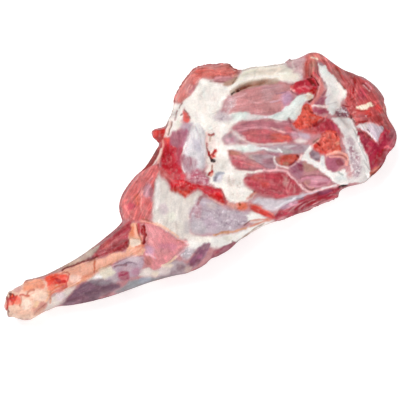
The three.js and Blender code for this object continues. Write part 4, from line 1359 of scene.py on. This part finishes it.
# %% Lay the elbow
patch("orange wedge", "#E8AA8C",
      "128,224 133,222 137,224 139,231 141,238 144,244 138,248 130,252 123,255 127,249 130,241 128,234",
      soft=1.6, grain=-30, wisp=0.6)
tones("wedge", """
    #E0805F 1.6 128,229 131,226 134,227 134,237 129,237
    #F9B8A2 1.4 134,224 136,224 138,230 139,238 135,237 134,230
    #E8D6C6 1.6 130,238 140,239 141,244 134,247 130,246
    #F4DEC4 1.6 137,251 144,249 144,254 138,255""")
strokes("wedge's tendons", """
    #C89078 1.2 129,237 133,238 139,239
    #CC7058 2.6 130,254 134,251 138,249 144,246
    #D87A60 1.6 136,247 139,246 143,245
    #D8A888 2.2 118,257 124,254 129,253""")
ELBOW = """
    139,221 144,221 150,222 156,225 162,229 168,234 173,238 180,241 187,243 190,245 184,248 178,251
    175,254 173,258 169,262 164,265 160,268 154,271 149,268 145,264 142,259 143,252 146,247 147,240
    146,232 145,226"""
patch("elbow triangle", "#DA8E92", ELBOW, rise=2.4, swell=7, seam=0.9, grain=58, streak=0.3, wisp=0.6)
tones("triangle", """
    #CC8494 2.5 158,244 176,243 176,249 159,249
    #CDA2B8 3 145,246 153,246 154,253 146,254
    #C88A8C 3 154,249 169,249 168,254 155,254
    #C88480 2.5 143,256 151,256 152,265 145,264""")
strokes("triangle's light lines", """
    #F8B29C 1.4 140,221 145,222 150,223 155,224
    #F0BEC6 1.8 146,254 151,255 155,257
    #F0BCC2 1.6 184,251 181,253 178,256 175,259
    #EFC2A8 2 157,223 163,227 169,231 175,235
    #F4A4A0 1.4 146,228 147,234 146,240
    #ECCCAE 2 163,265 168,264 172,261 176,257
    #F8B8B8 1.2 177,239 181,241 187,242""", cover=0.75)
strokes("triangle's dark lines", """
    #A0644F 1.2 142,219 146,220 150,221 153,222
    #B85A50 1.2 140,223 144,223 149,224
    #B06850 1.2 176,240 180,241 183,243""", cover=0.75)
hairs("triangle's fibres", ("#F2B4B0", "#C4686E"), ELBOW, 58, 18, length=7, cover=0.25)
# The cleft's dark red is painted shade in it.
patch("cleft", "#9E0E18",
      "140,225 143,225 145,228 145,233 147,235 145,239 145,244 142,244 143,238 141,233 140,228", soft=1.1,
      rise=-2.5, swell=2, wisp=0.6)
tones("cleft", """
    #B83A42 1.4 136,223 140,223 140,231 139,235 137,229
    #8A141A 1.2 142,225 144,225 145,228 142,228
    #8E2232 1.2 143,237 145,237 145,244 143,244
    #F09286 1.1 141,235 142,236 143,241 141,241""")
# The dark line along the cleft's edge is painted shade.
strokes("cleft's edge", """
    #8E3A30 1 136,225 137,230 139,234 141,241""")
say_laid("elbow")

# %% [markdown]
# Down the forearm the front muscle is maroon and streaked lengthwise.

# %% Lay the front of the forearm
FRONT_MUSCLE = """
    126,220 120,227 113,234 107,238 101,243 95,247 91,250 91,259 98,258 106,256 113,254 122,250 128,246
    129,239 129,232 132,225 132,221"""
patch("front muscle", "#A4464E", FRONT_MUSCLE, soft=1.6, rise=1.2, swell=5, seam=0.5, grain=-30, streak=0.5)
tones("front muscle", """
    #9A3842 2 113,232 120,231 119,237 112,238
    #AA4C56 2.5 120,231 128,230 128,238 120,238
    #B25A56 2.5 103,243 110,242 109,249 104,249
    #86181E 1.6 113,246 119,242 124,240 129,239 129,242 122,244 115,247
    #801C20 1.6 110,251 118,250 124,247 129,245 126,249 118,252 112,253""")
# The first line runs along the leg's outer edge and is painted shade there.
strokes("front muscle's dark edges and painted shade", """
    #7A4844 1.2 123,225 116,231 110,236 104,241 98,246 92,250
    #6E3A34 1.3 129,239 129,243 128,247""")
hairs("front muscle's fibres", ("#C25A5C", "#7E1A20", "#C87A78"), FRONT_MUSCLE, -29, 30, length=12,
      cover=0.35)
say_laid("front of the forearm")

# %% [markdown]
# Beside it lies the bared bone with its cream skin, a grey film along the edge, and orange blood near the
# knuckle.

# %% Lay the bared bone
patch("grey edge film", "#B8A297",
      "52,273 60,268 70,262 80,256 90,250 98,245 100,248 92,256 84,260 74,263 64,268 56,272", soft=1.6,
      film=0.15, grain=-30)
BONE_STRIP = """
    44,278 54,274 62,271 70,268 80,263 90,261 100,259 110,256 120,253 130,250 141,246 146,248 143,254
    132,257 122,259 114,262 104,269 94,275 84,281 74,286 64,290 54,294 46,296 40,288"""
tones("edge film", """
    #C8B4A8 2 85,253 92,249 92,255 86,257
    #B09488 1.8 81,256 89,255 88,259 82,260
    #CDB0A0 1.8 64,266 72,261 81,258 80,261 72,264 65,268
    #8E6068 1.6 86,258 97,256 97,259 87,260""")
patch("bone strip", "#EDB8A0", BONE_STRIP, soft=1.8, grain=-27)
hairs("bone strip's scrapes", ("#F6D6C4", "#E09A80", "#EEC0A6"), BONE_STRIP, -27, 36, length=14, wide=1.2,
      cover=0.35)
tones("bone strip", """
    #EBB69E 2.5 75,265 85,264 85,269 76,270
    #F2BEA2 2 108,255 121,252 121,258 110,259
    #DC9478 2.5 80,281 84,276 93,273 93,277 86,281
    #F9DECF 2 70,277 76,275 81,277 79,282 71,283""")
# The groove's dark brown is painted shade in it.
band("groove in painted shade", "#6E3028", "62,270 68,267 74,265 80,262 86,260 92,259 97,257", 2, cover=0.9, rise=-1.5)
strokes("bone strip's lines", """
    #BC5A34 1.8 95,261 94,265 95,269 94,272 95,274
    #C08868 1.5 96,271 101,268 106,266 112,264
    #C88C68 1.8 70,287 75,285 80,282 85,280
    #A06058 1.3 117,262 122,263
    #D8A088 1.4 112,263 117,261
    #A8523C 1.4 62,273 66,272 70,274""")
patch("blood on the bone", "#EC543E",
      "43,284 45,277 48,275 54,274 60,274 69,275 67,279 66,283 62,285 57,285 50,287 45,287", soft=2,
      ragged=1, cover=0.95, wisp=0.6)
tones("blood", """
    #E03A22 2 50,278 58,278 58,284 50,285
    #FF685A 1.8 57,275 65,275 65,280 58,280
    #EC7E7A 2 58,284 66,284 66,290 59,290
    #FA927A 1.8 48,286 56,285 55,290 48,291""")
strokes("blood's lines", """
    #B80804 3.2 57,280 59,281 61,282 64,281
    #E08060 1.4 50,294 52,290 60,286 64,284
    #D05858 1.6 69,275 68,279 66,282 66,286
    #D87860 1.5 50,297 53,293 57,291 62,289 67,287""", cover=0.95)
say_laid("bared bone")

# %% [markdown]
# The rear muscle is purple under film, and its dark purple is partly painted shade, since it is a wall that
# faces down. White film and a grey band lie between it, the elbow and the knuckle.

# %% Lay the rear of the forearm
patch("filmed rear", "#B8A0AC",
      "110,282 112,268 118,262 126,257 136,257 143,258 144,268 138,276 128,279 118,282", soft=3, grain=-22,
      film=0.15)
tones("filmed rear", """
    #CDBCC2 2.5 126,256 139,256 139,262 128,262
    #C4A6AE 2.2 120,267 132,266 132,271 121,271
    #BC8E9E 2.5 132,268 140,268 140,275 133,275
    #A64A5E 2.2 118,273 122,271 128,272 130,276 128,280 119,280""")
strokes("filmed rear's lines", """
    #86747E 1.6 124,264 128,262 132,263 136,264
    #865A62 1.8 115,267 119,265 123,265 126,265""")
patch("white seam", "#DDD3C8", "86,281 92,277 100,272 112,266 115,272 113,280 104,280 96,280", soft=2.5)
tones("seam", """
    #D8CCB8 2.5 99,268 112,266 113,275 101,277
    #F5EEEE 1.5 93,280 96,276 103,276 101,279
    #A898A4 2 107,277 115,277 115,283 108,283
    #B8A8AC 2 112,275 117,275 117,284 112,284""")
REAR_MUSCLE = """
    57,306 66,299 72,293 78,287 84,282 92,280 102,279 110,281 116,283 122,285 118,289 110,293 102,297
    92,301 80,304 70,306"""
# The rear muscle's dark purple is partly painted shade of its downward-facing wall.
patch("rear muscle", "#70445A", REAR_MUSCLE, rise=1, swell=6, seam=0.5, grain=-24, streak=0.3)
tones("rear muscle", """
    #8E8088 2.5 91,281 97,280 112,281 108,284 94,284
    #6E2E48 2.5 76,297 91,296 90,302 70,304 62,305 68,300
    #64384C 2.5 87,292 100,292 100,298 88,299
    #6E4450 2.5 100,290 111,290 110,295 101,297""")
flecks("rear muscle's mottles", "#4E4050", "109,283 119,283 119,288 110,289", 1.6, 0.16, cover=0.6)
hairs("rear muscle's fibres", ("#9A7488", "#54283C"), REAR_MUSCLE, -24, 20, length=12, cover=0.3)
patch("grey near band", "#9C9498",
      "112,294 118,290 124,286 134,281 146,277 158,276 164,277 150,284 136,288 122,293", soft=2.5,
      film=0.15)
tones("band", """
    #9A9A9E 2.5 127,282 141,279 140,285 128,288
    #9EA0AC 2 139,278 151,276 150,282 140,283""")
# This dark foot runs along the leg's near outline: painted shade where the surface turns under.
strokes("band's dark foot in painted shade", """
    #8E8484 1.8 145,283 150,282 156,280 162,278 170,276 176,275""", cover=0.6)
patch("white below the triangle", "#E2D5D0",
      "138,276 143,268 150,270 156,272 164,269 170,265 166,272 156,276 146,277")
tones("white", """
    #ECDED6 2 145,268 151,268 151,273 146,273
    #E8D6C4 2 151,272 159,272 158,276 152,276
    #F0DAC8 2 162,265 173,264 170,269 163,269
    #D8C6C4 2 159,268 171,268 170,274 160,274""")
patch("white film by the knuckle", "#DCCCC4",
      "44,311 46,301 52,296 60,292 70,288 78,285 72,293 66,299 58,306 50,310", film=0.1)
tones("film", """
    #D0BEC0 2 61,293 68,293 66,299 61,299
    #D8C8BE 2 64,289 73,288 70,295 65,295
    #E0CED2 2 56,293 63,293 62,300 57,300
    #E89088 1.6 55,289 63,289 62,292 56,293""")
say_laid("rear of the forearm")

# %% [markdown]
# The knuckle is bare bone: cream knobs and hollows, with blood in the pits of its end.

# %% Lay the knuckle
patch("knuckle", "#F4CFBA",
      "4,298 8,291 14,288 24,283 36,279 46,279 48,288 50,296 46,303 44,312 36,318 26,320 16,319 8,315 "
      "4,308", soft=1.8, wisp=0.6)
patch("orange shoulder", "#EA9E82", "22,286 25,281 34,280 43,277 44,283 45,289 36,289 28,291 23,292",
      soft=2, cover=0.95, wisp=0.6)
patch("lower knob", "#F7E6D5", "21,299 26,298 30,300 32,304 30,309 25,310 21,307", soft=2, rise=2, swell=5,
      wisp=0.6)
patch("upper knob", "#F8DCCA", "31,297 32,293 36,291 44,290 48,292 48,296 45,300 38,301 33,301", soft=2,
      rise=2, swell=5, wisp=0.6)
patch("hollow between the knobs", "#CE9688", "34,306 40,303 46,302 48,305 44,309 40,314 34,315 33,310",
      soft=2.5, cover=0.9, rise=-0.8, swell=3, wisp=0.6)
hairs("knuckle's scrapes", ("#F9E6D8", "#E3A48C", "#F0C2AC"), "10,300 30,286 46,290 42,308 28,318 12,314",
      -30, 30, length=6, cover=0.35)
tones("shoulder", """
    #DA8E76 1.6 36,285 45,284 45,288 36,289
    #F0A282 2 24,285 34,285 33,290 25,290
    #CEA09C 1.6 13,289 17,287 21,287 20,292 14,292""")
tones("knobs", """
    #FCE2CC 1.5 39,291 47,291 47,296 40,296
    #FBDCC6 2 10,304 20,304 20,310 11,310
    #F0D0AA 1.6 33,302 39,302 38,307 34,307
    #CC9088 1.6 40,302 48,303 47,307 41,307""")
patch("blood in the pit", "#C41410",
      "9,294 10,293 13,293 15,295 18,295 18,299 16,301 14,304 11,302 9,300 8,297", soft=1.2, ragged=1,
      rise=-1, swell=2, wisp=0.6)
tones("clots and splashes", """
    #5E0808 1.2 9,293 12,292 12,296 9,296
    #7A1008 1 13,294 15,294 14,297 13,297
    #FF6E54 1 11,295 13,295 13,297 11,297
    #A80404 1.2 10,297 16,297 16,299 10,299
    #B82020 1.2 16,295 18,295 18,298 16,298
    #F8526A 1.3 7,298 10,298 10,301 7,301
    #FA7262 1.6 16,296 21,296 21,303 17,303
    #F6907C 1.8 14,301 20,301 20,305 15,305
    #D04C3C 1.2 11,301 14,301 13,305 11,304
    #FA8C82 1.4 8,300 11,300 11,305 8,305
    #F4A49C 1.4 4,302 6,302 6,310 4,310""", cover=0.95)
strokes("blood's rim", """
    #8E0000 2.2 6,296 7,298
    #B40000 2 7,299 7,303 7,306 7,309
    #8E5A58 1.4 8,309 9,311""", cover=0.95)
# The last line runs along the leg's far outline and is painted shade there.
strokes("knuckle's lines", """
    #B83020 2 20,295 23,295 25,296 29,296
    #B05C46 2 27,295 28,293 30,291 34,290
    #D09078 1.5 21,297 21,302 20,306
    #F2BE98 1.6 48,290 49,294 48,298 46,301
    #D08E74 1.8 51,291 50,296 51,300 50,303
    #A88478 1.2 26,281 33,279 38,278 46,275 52,273 58,270""")
say_laid("knuckle")

# %% [markdown]
# Light falls more strongly on some parts of the leg than on others. Where a part came out too bright, a thin
# glaze of a deeper colour lies over all of it, and where it came out too dull, a thin film of a lighter one.

# %% Glaze the parts
GLAZES = (
    ("top limb", "#8A3A30", 0.33, TOP_LIMB),
    ("bone strip", "#C8402A", 0.2, BONE_STRIP),
    ("cream sheet", "#8C6C70", 0.14, CREAM_SHEET),
    ("upper belly", "#FFFFFF", 0.08, UPPER_BELLY),
    ("white junction", "#A88088", 0.1,
     "206,150 212,120 236,114 224,140 230,164 246,178 250,196 232,202 214,186"),
    ("cartilage", "#FFF2EE", 0.3, "324,72 331,74 339,84 345,97 342,106 330,101 325,88"),
    ("rear muscle", "#FFFFFF", 0.06, REAR_MUSCLE),
    ("knuckle", "#E0704A", 0.17, "5,300 14,290 30,284 46,288 50,298 42,310 30,318 12,314"),
    ("upper tear", "#FFB8A0", 0.12, "293,106 306,104 314,112 312,126 298,127"),
    ("lower tear", "#FFB8A0", 0.14, "316,134 334,132 340,142 338,153 320,152"),
    ("cut edge", "#7E2030", 0.14, "164,180 176,186 190,186 206,188 222,196 214,203 196,193 184,197 172,192"),
    ("flap", "#5A2030", 0.12, "268,215 300,200 330,193 338,197 310,210 282,219"),
    ("middle belly", "#FFD8D0", 0.08, "240,132 256,127 276,130 280,137 262,143 246,140"),
    ("third belly", "#C8E8E0", 0.12, "236,150 248,147 264,156 262,164 246,164"),
)
for part, colour, cover, outline in GLAZES:
    patch(part, colour, outline, soft=4, cover=cover)
say_laid("glaze")
print("relief from", round(lift.min(), 1), "to", round(lift.max(), 1), "mm")

# %% [markdown]
# The far side and the underside weren't laid from the chart. There a grown-over sheet of pale fat and film
# covers red muscle in broad blotches, as on the outer side of any skinned leg.

# %% Lay the outer side
OUTER_MUSCLE, OUTER_FAT = "#B4646A", "#E2CFC6"
OUTER_COVER, OUTER_FILM = 0.7, 0.4  # how much it hides what was laid, and how strong its film is

turned_away = 1 - ease(-0.25, 0.0, facing)
outer = 1000 * np.stack([points[:, 0] + 0.6 * points[:, 1], points[:, 2] + 0.8 * points[:, 1]], axis=1)
fat = ease(-0.25, 0.45, mottle(outer, 46, 31) + 0.5 * mottle(outer, 17, 32) + 0.25 * mottle(outer, 7, 33))
outer_tint = linear(OUTER_MUSCLE) + (linear(OUTER_FAT) - linear(OUTER_MUSCLE)) * fat[:, None]
tint += (outer_tint - tint) * (OUTER_COVER * turned_away)[:, None]
finish["film"] += (OUTER_FILM - finish["film"]) * OUTER_COVER * turned_away
print("outer side takes", round(100 * turned_away.mean()), "percent of the points")

# %% [markdown]
# Muscle shows its fibres as fine light and dark streaks. Each point's place is turned to its own fibre
# direction, and a noise stretched along that direction varies the colour and roughens the form a little. The
# colour follows the rise, lighter on ridges and darker in furrows, so fibres and crags are partly painted
# highlight and shade. Sizes are in pixels of 1.8 mm. The leg's rim, where the surface turns away from the
# camera, is painted darker as shade. Wet flesh also mirrors the white room, which lightens its darks, so the
# colours go a little darker to make up.

# %% Streak the fibres, roughen the torn places and paint shade on the rim
SHEEN = 0.03  # how much light the wet surface mirrors on top of its colour
FILM_WHITE = "#EFE8E8"
FILM_SHARE = 0.4  # how much of an area its broken film covers on average
RIM_SHADE_DEEPER = 0.22  # how much darker the rim's painted shade makes it
STREAK_SHADE, TORN_SHADE = 0.3, 0.16  # how much fibres and crags change the colour, lighter where they rise: partly painted highlight and shade
STREAK_RISE, TORN_RISE = 0.5, 1.6  # and the form, in millimetres
PIT_SHADE, SPECK_COVER = 0.22, 0.14  # how strong the painted shade of small pits and the pale specks, partly painted glints, of red flesh are
PALE_VEIL, SPECK_AND_GLINT_PINK = "#E6D0D2", "#EDBDB8"
# Of the muscle's threads the darker one is painted shade of thin creases; of the sheets' threads the darker
# one is painted shade of folds.
MUSCLE_THREADS = ((0.5, 6, 5.0, 61), (-0.4, 5, 6.0, 63), (0.5, 3, 4.0, 65))  # change, length, width and seed
SHEET_THREADS = ((-0.14, 3, 7.0, 67), (0.1, 3, 6.0, 69))

lengthwise = along_and_across(place, np.radians(fibre))
fibres = mottle(lengthwise / (9, 1), 1.5, 41) + 0.7 * mottle(lengthwise / (7, 1), 3.2, 42)
crags = mottle(place, 4.5, 43) + 0.7 * mottle(place, 2.2, 44)
blotches = 0.11 * mottle(place, 7, 45) + 0.06 * mottle(place, 2.5, 46)
# The colour follows the same noise as the rise, so fibres and crags are partly painted highlight where they
# rise and painted shade where they sink.
fibred = 1 + STREAK_SHADE * finish["streak"] * fibres + TORN_SHADE * finish["torn"] * crags
tint *= (fibred + blotches)[:, None]
# Painted shade: the rim, where the surface turns away from the camera, is made darker.
finish["painted_rim_shade"] = 1 - ease(0.1, 0.62, facing)
tint *= 1 - RIM_SHADE_DEEPER * finish["painted_rim_shade"][:, None]
veils = mottle(lengthwise / (5, 1), 2.6, 47) + 0.7 * mottle(lengthwise / (4, 1), 6.0, 48)
paler = np.clip(0.22 * finish["streak"] * ease(0.1, 1.2, veils), 0, 1)
tint += (linear(PALE_VEIL) - tint) * paler[:, None]


def threads(length, width, seed):
    """Thin broken lines along the fibres: where a stretched noise passes zero."""
    passing = np.abs(mottle(lengthwise / (length, 1), width, seed))
    return (1 - ease(0.02, 0.2, passing)) * ease(0.0, 0.5, mottle(place, 8.0, seed + 1))


for change, length, width, seed in MUSCLE_THREADS:
    tint *= 1 + (change * finish["streak"] * threads(length, width, seed))[:, None]
for change, length, width, seed in SHEET_THREADS:
    tint *= 1 + (change * (1 - finish["streak"]) * threads(length, width, seed))[:, None]
redness = 1 - tint[:, 1] / tint[:, 0]
# The dark pits are painted shade, and the pale specks are partly painted wet glints.
pits = ease(0.3, 0.8, mottle(place, 2.3, 71)) + 0.6 * ease(0.2, 0.8, mottle(place, 4.2, 72))
specks_and_glints = ease(0.3, 0.8, mottle(place, 1.9, 73)) + 0.5 * ease(0.3, 0.8, mottle(place, 3.4, 74))
tint *= 1 - (PIT_SHADE * redness * pits)[:, None]
tint += (linear(SPECK_AND_GLINT_PINK) - tint) * (SPECK_COVER * redness * specks_and_glints)[:, None]
veiled = FILM_SHARE * finish["film"][:, None]
tint = (tint - veiled * linear(FILM_WHITE)) / (1 - veiled)
tint = np.clip(tint - SHEEN, 0.003, 0.95)
lift += STREAK_RISE * finish["streak"] * fibres + TORN_RISE * finish["torn"] * crags
lift *= 1 - hidden
print("relief after roughening from", round(lift.min(), 1), "to", round(lift.max(), 1), "mm")

# %% [markdown]
# The relief moves each point along its normal, and the painted values go with the mesh as attributes that the
# materials read.

# %% Shape the surfaces and store the paint
def store(piece, name, kind, key, values):
    """Keeps one value for each point of a piece under a name."""
    layer = piece.data.attributes.new(name, kind, "POINT")
    layer.data.foreach_set(key, np.ascontiguousarray(values, dtype=np.float32).ravel())


points += normals * (lift / 1000)[:, None]
points[:, 2] = np.maximum(points[:, 2], 0)
grain_mm = PIXEL_MM * np.hstack([lengthwise, np.zeros((len(points), 1))])
for piece, own in own_points():
    piece.data.vertices.foreach_set("co", points[own].ravel())
    store(piece, "tint", "FLOAT_COLOR", "color", np.hstack([tint[own], np.ones((own.stop - own.start, 1))]))
    store(piece, "grain", "FLOAT_VECTOR", "vector", grain_mm[own])
    for name, values in finish.items():
        store(piece, name, "FLOAT", "value", values[own])
    piece.data.update()
    piece.data.polygons.foreach_set("use_smooth", np.ones(len(piece.data.polygons), bool))
    print(piece.name, len(piece.data.polygons), "faces")

# %% [markdown]
# A material is a tree of nodes. One small function adds a node with its settings and links, and another
# starts a material.

# %% Define how materials are built
MIX_SHARE, MIX_FROM, MIX_TO, MIX_RESULT = 0, 6, 7, 2  # a mix node's sockets for colours


def add(tree, kind, settings=(), links=()):
    """A new node of one kind, with its settings, and with sources linked to its sockets."""
    node = tree.nodes.new(kind)
    for name, value in dict(settings).items():
        if isinstance(name, int) or name in node.inputs:
            node.inputs[name].default_value = value
        else:
            setattr(node, name, value)
    for socket, source in dict(links).items():
        tree.links.new(source, node.inputs[socket])
    return node


def new_material(name, settings):
    """A material with its shader's even values set, and its node tree and shader."""
    material = bpy.data.materials.new(name)
    material.use_nodes = True
    shader = material.node_tree.nodes["Principled BSDF"]
    for socket, value in settings.items():
        shader.inputs[socket].default_value = value
    return material, material.node_tree, shader


def rgba(code):
    """A hex colour as a shader wants it."""
    return (*linear(code), 1.0)


# %% [markdown]
# Raw muscle, cut and skinned: translucent red flesh, wet, so it is glossy with a soft roughness. The painted
# colour comes from the mesh. Fine fibre bundles and a streaky white film are added as patterns, drawn a
# little coarser than life so that they show in the picture.

# %% Draw the raw muscle's patterns
FIBRE_MM = 2.4  # width of a bundle of fibres, drawn coarser than the real half millimetre
FILM_MM = 7.0  # width of the thin places in the film
GRAIN_MM = 1.6  # size of the finest wet grain

muscle, tree, shader = new_material("raw_muscle_cut_and_skinned", {
    "IOR": 1.38, "Coat Roughness": 0.12,
    "Subsurface Weight": 0.12, "Subsurface Radius": (1.0, 0.35, 0.25), "Subsurface Scale": 0.004})
painted, grain, streak, film, painted_rim_shade = (add(tree, "ShaderNodeAttribute", {"attribute_name": name})
                                       for name in ("tint", "grain", "streak", "film", "painted_rim_shade"))
spots = add(tree, "ShaderNodeTexCoord").outputs["Object"]
stretched = add(tree, "ShaderNodeMapping", {"Scale": (0.1 / FIBRE_MM, 1 / FIBRE_MM, 1)},
                {"Vector": grain.outputs["Vector"]})
drawn_out = add(tree, "ShaderNodeMapping", {"Scale": (0.25 / FILM_MM, 1 / FILM_MM, 1)},
                {"Vector": grain.outputs["Vector"]})
bundles = add(tree, "ShaderNodeTexNoise", {"Scale": 1.0, "Detail": 3.0},
              {"Vector": stretched.outputs["Vector"]})
thin = add(tree, "ShaderNodeTexNoise", {"Scale": 1.0, "Detail": 4.0, "Roughness": 0.6},
           {"Vector": drawn_out.outputs["Vector"]})
beads = add(tree, "ShaderNodeTexNoise", {"Scale": 1000 / GRAIN_MM, "Detail": 2.0}, {"Vector": spots})
print("patterns", FIBRE_MM, FILM_MM, "and", GRAIN_MM, "mm wide")

# %% [markdown]
# The fibre bundles darken and lighten the painted colour, the film whitens it where it isn't torn thin, and
# the grain gives it grit. Bundles and grain also make the bump, so the colour is lighter where the bump rises
# and darker where it sinks: partly painted highlight and shade. Where the rim's painted shade lies, the gloss
# is taken away too.

# %% Make the raw muscle's finish
GLOSS, COAT = 0.2, 0.15  # specular level and wet coat away from the rim's painted shade

shade = add(tree, "ShaderNodeMapRange", {"From Min": 0.3, "From Max": 0.7, "To Min": 0.74, "To Max": 1.22},
            {"Value": bundles.outputs["Fac"]})
streaked = add(tree, "ShaderNodeMix", {"data_type": "RGBA", "blend_type": "MULTIPLY"},
               {MIX_SHARE: streak.outputs["Fac"], MIX_FROM: painted.outputs["Color"],
                MIX_TO: shade.outputs["Result"]})
broken = add(tree, "ShaderNodeMapRange", {"From Min": 0.4, "From Max": 0.68}, {"Value": thin.outputs["Fac"]})
veil = add(tree, "ShaderNodeMath", {"operation": "MULTIPLY"},
           {0: broken.outputs["Result"], 1: film.outputs["Fac"]})
filmed = add(tree, "ShaderNodeMix", {"data_type": "RGBA", MIX_TO: rgba(FILM_WHITE)},
             {MIX_SHARE: veil.outputs["Value"], MIX_FROM: streaked.outputs[MIX_RESULT]})
# The grain's colour follows its bump: lighter where it rises and darker where it sinks, partly painted
# highlight and shade.
grit_and_shade = add(tree, "ShaderNodeMapRange", {"From Min": 0.3, "From Max": 0.7, "To Min": 0.86, "To Max": 1.12},
           {"Value": beads.outputs["Fac"]})
grained = add(tree, "ShaderNodeMix", {"data_type": "RGBA", "blend_type": "MULTIPLY", MIX_SHARE: 1.0},
              {MIX_FROM: filmed.outputs[MIX_RESULT], MIX_TO: grit_and_shade.outputs["Result"]})
wet = add(tree, "ShaderNodeMapRange", {"From Min": 0.3, "From Max": 0.7, "To Min": 0.3, "To Max": 0.5},
          {"Value": thin.outputs["Fac"]})
ribs = add(tree, "ShaderNodeMath", {"operation": "MULTIPLY"},
           {0: bundles.outputs["Fac"], 1: streak.outputs["Fac"]})
height = add(tree, "ShaderNodeMath", {"operation": "MULTIPLY_ADD", 1: 0.4},
             {0: beads.outputs["Fac"], 2: ribs.outputs["Value"]})
bump = add(tree, "ShaderNodeBump", {"Strength": 0.5, "Distance": 0.0008}, {"Height": height.outputs["Value"]})
tree.links.new(grained.outputs[MIX_RESULT], shader.inputs["Base Color"])
tree.links.new(wet.outputs["Result"], shader.inputs["Roughness"])
# Where the rim's painted shade lies, its gloss is taken away.
for socket, gloss in (("Specular IOR Level", GLOSS), ("Coat Weight", COAT)):
    kept = add(tree, "ShaderNodeMapRange", {"To Min": gloss, "To Max": 0.0}, {"Value": painted_rim_shade.outputs["Fac"]})
    tree.links.new(kept.outputs["Result"], shader.inputs[socket])
tree.links.new(bump.outputs["Normal"], shader.inputs["Normal"])
meat.data.materials.clear()
meat.data.materials.append(muscle)
print("muscle finish has", len(tree.nodes), "nodes")

# %% [markdown]
# Bone, scraped and damp: cream, a little translucent, less glossy than the muscle and pitted where tendons
# held it. Its colour is a little darker where the pits' bump sinks and lighter where it rises. The blood on
# it comes from the painted colour.

# %% Make the bone's finish
PIT_MM = 3.0  # width of a pit

scraped, tree, shader = new_material("bone_scraped_and_damp", {
    "IOR": 1.5, "Specular IOR Level": 0.3, "Coat Weight": 0.05,
    "Subsurface Weight": 0.1, "Subsurface Radius": (1.0, 0.6, 0.4), "Subsurface Scale": 0.003})
painted = add(tree, "ShaderNodeAttribute", {"attribute_name": "tint"})
spots = add(tree, "ShaderNodeTexCoord").outputs["Object"]
pits = add(tree, "ShaderNodeTexNoise", {"Scale": 1000 / PIT_MM, "Detail": 4.0}, {"Vector": spots})
# The colour is darker where the bump sinks into the pits and lighter where it rises.
darker_in_pits = add(tree, "ShaderNodeMapRange", {"From Min": 0.35, "From Max": 0.65, "To Min": 0.9, "To Max": 1.06},
            {"Value": pits.outputs["Fac"]})
pit_darkened = add(tree, "ShaderNodeMix", {"data_type": "RGBA", "blend_type": "MULTIPLY", MIX_SHARE: 1.0},
              {MIX_FROM: painted.outputs["Color"], MIX_TO: darker_in_pits.outputs["Result"]})
damp = add(tree, "ShaderNodeMapRange", {"From Min": 0.3, "From Max": 0.7, "To Min": 0.35, "To Max": 0.55},
           {"Value": pits.outputs["Fac"]})
bump = add(tree, "ShaderNodeBump", {"Strength": 0.4, "Distance": 0.0008}, {"Height": pits.outputs["Fac"]})
tree.links.new(pit_darkened.outputs[MIX_RESULT], shader.inputs["Base Color"])
tree.links.new(damp.outputs["Result"], shader.inputs["Roughness"])
tree.links.new(bump.outputs["Normal"], shader.inputs["Normal"])
bone.data.materials.clear()
bone.data.materials.append(scraped)
print("bone finish has", len(tree.nodes), "nodes")

# %% [markdown]
# The leg lies on a plain white table that is lit from within, as tables for photographing food are, so that
# hardly a shadow shows round the meat and its undersides are bright.

# %% Lay the table
TABLE = 8.0  # half its width, in metres
TABLE_DROP = 0.0005  # keeps it just clear of the leg
TABLE_GLOW = 0.62
BRUSH_MM = 25.0  # length of the marks in its paint

plate = bmesh.new()
bmesh.ops.create_grid(plate, x_segments=32, y_segments=32, size=TABLE)
table_mesh = bpy.data.meshes.new("table")
plate.to_mesh(table_mesh)
plate.free()
table = bpy.data.objects.new("table", table_mesh)
table.location.z = -TABLE_DROP
bpy.context.scene.collection.objects.link(table)
table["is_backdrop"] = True
white, tree, shader = new_material("table_matt_white_paint", {
    "Roughness": 0.8, "Emission Color": (1, 1, 1, 1), "Emission Strength": TABLE_GLOW})
spots = add(tree, "ShaderNodeTexCoord").outputs["Object"]
brushed = add(tree, "ShaderNodeTexNoise", {"Scale": 1000 / BRUSH_MM, "Detail": 3.0}, {"Vector": spots})
paint = add(tree, "ShaderNodeMapRange", {"To Min": 0.6, "To Max": 0.64}, {"Value": brushed.outputs["Fac"]})
tree.links.new(paint.outputs["Result"], shader.inputs["Base Color"])
table.data.materials.append(white)
print("table is", 2 * TABLE, "m wide")

# %% [markdown]
# The light is a bright white room with one large soft lamp above the far left, a weaker one on the near
# side and a small one for glints, so that shadows only gather in the folds.

# %% Set up the light
ROOM_LIGHT = 0.45

world = bpy.data.worlds.new("white_room")
world.use_nodes = True
world.node_tree.nodes["Background"].inputs["Color"].default_value = (1, 1, 1, 1)
world.node_tree.nodes["Background"].inputs["Strength"].default_value = ROOM_LIGHT
bpy.context.scene.world = world
bpy.context.scene.view_settings.view_transform = "Standard"


def softbox(name, spot, size, power):
    """A square lamp that faces the leg: its place and side in metres, and its power in watts."""
    lamp = bpy.data.lights.new(name, "AREA")
    lamp.size, lamp.energy = size, power
    stand = bpy.data.objects.new(name, lamp)
    stand.location = spot
    stand.rotation_euler = (AIM - Vector(spot)).to_track_quat("-Z", "Y").to_euler()
    bpy.context.scene.collection.objects.link(stand)
    print(name, power, "W")


softbox("lamp_far_left", (-0.9, 1.1, 2.4), 1.6, 44)
softbox("lamp_near", (0.1, -1.9, 1.0), 1.8, 18)
softbox("lamp_for_glints", (0.35, 0.7, 1.75), 0.16, 3.5)

# %% [markdown]
# Last, the size of the shown pieces, without the table, is printed.

# %% Print the size of the shown pieces
visual_box = [list(corner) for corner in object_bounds()]
print("visual box", [[round(value, 4) for value in corner] for corner in visual_box])
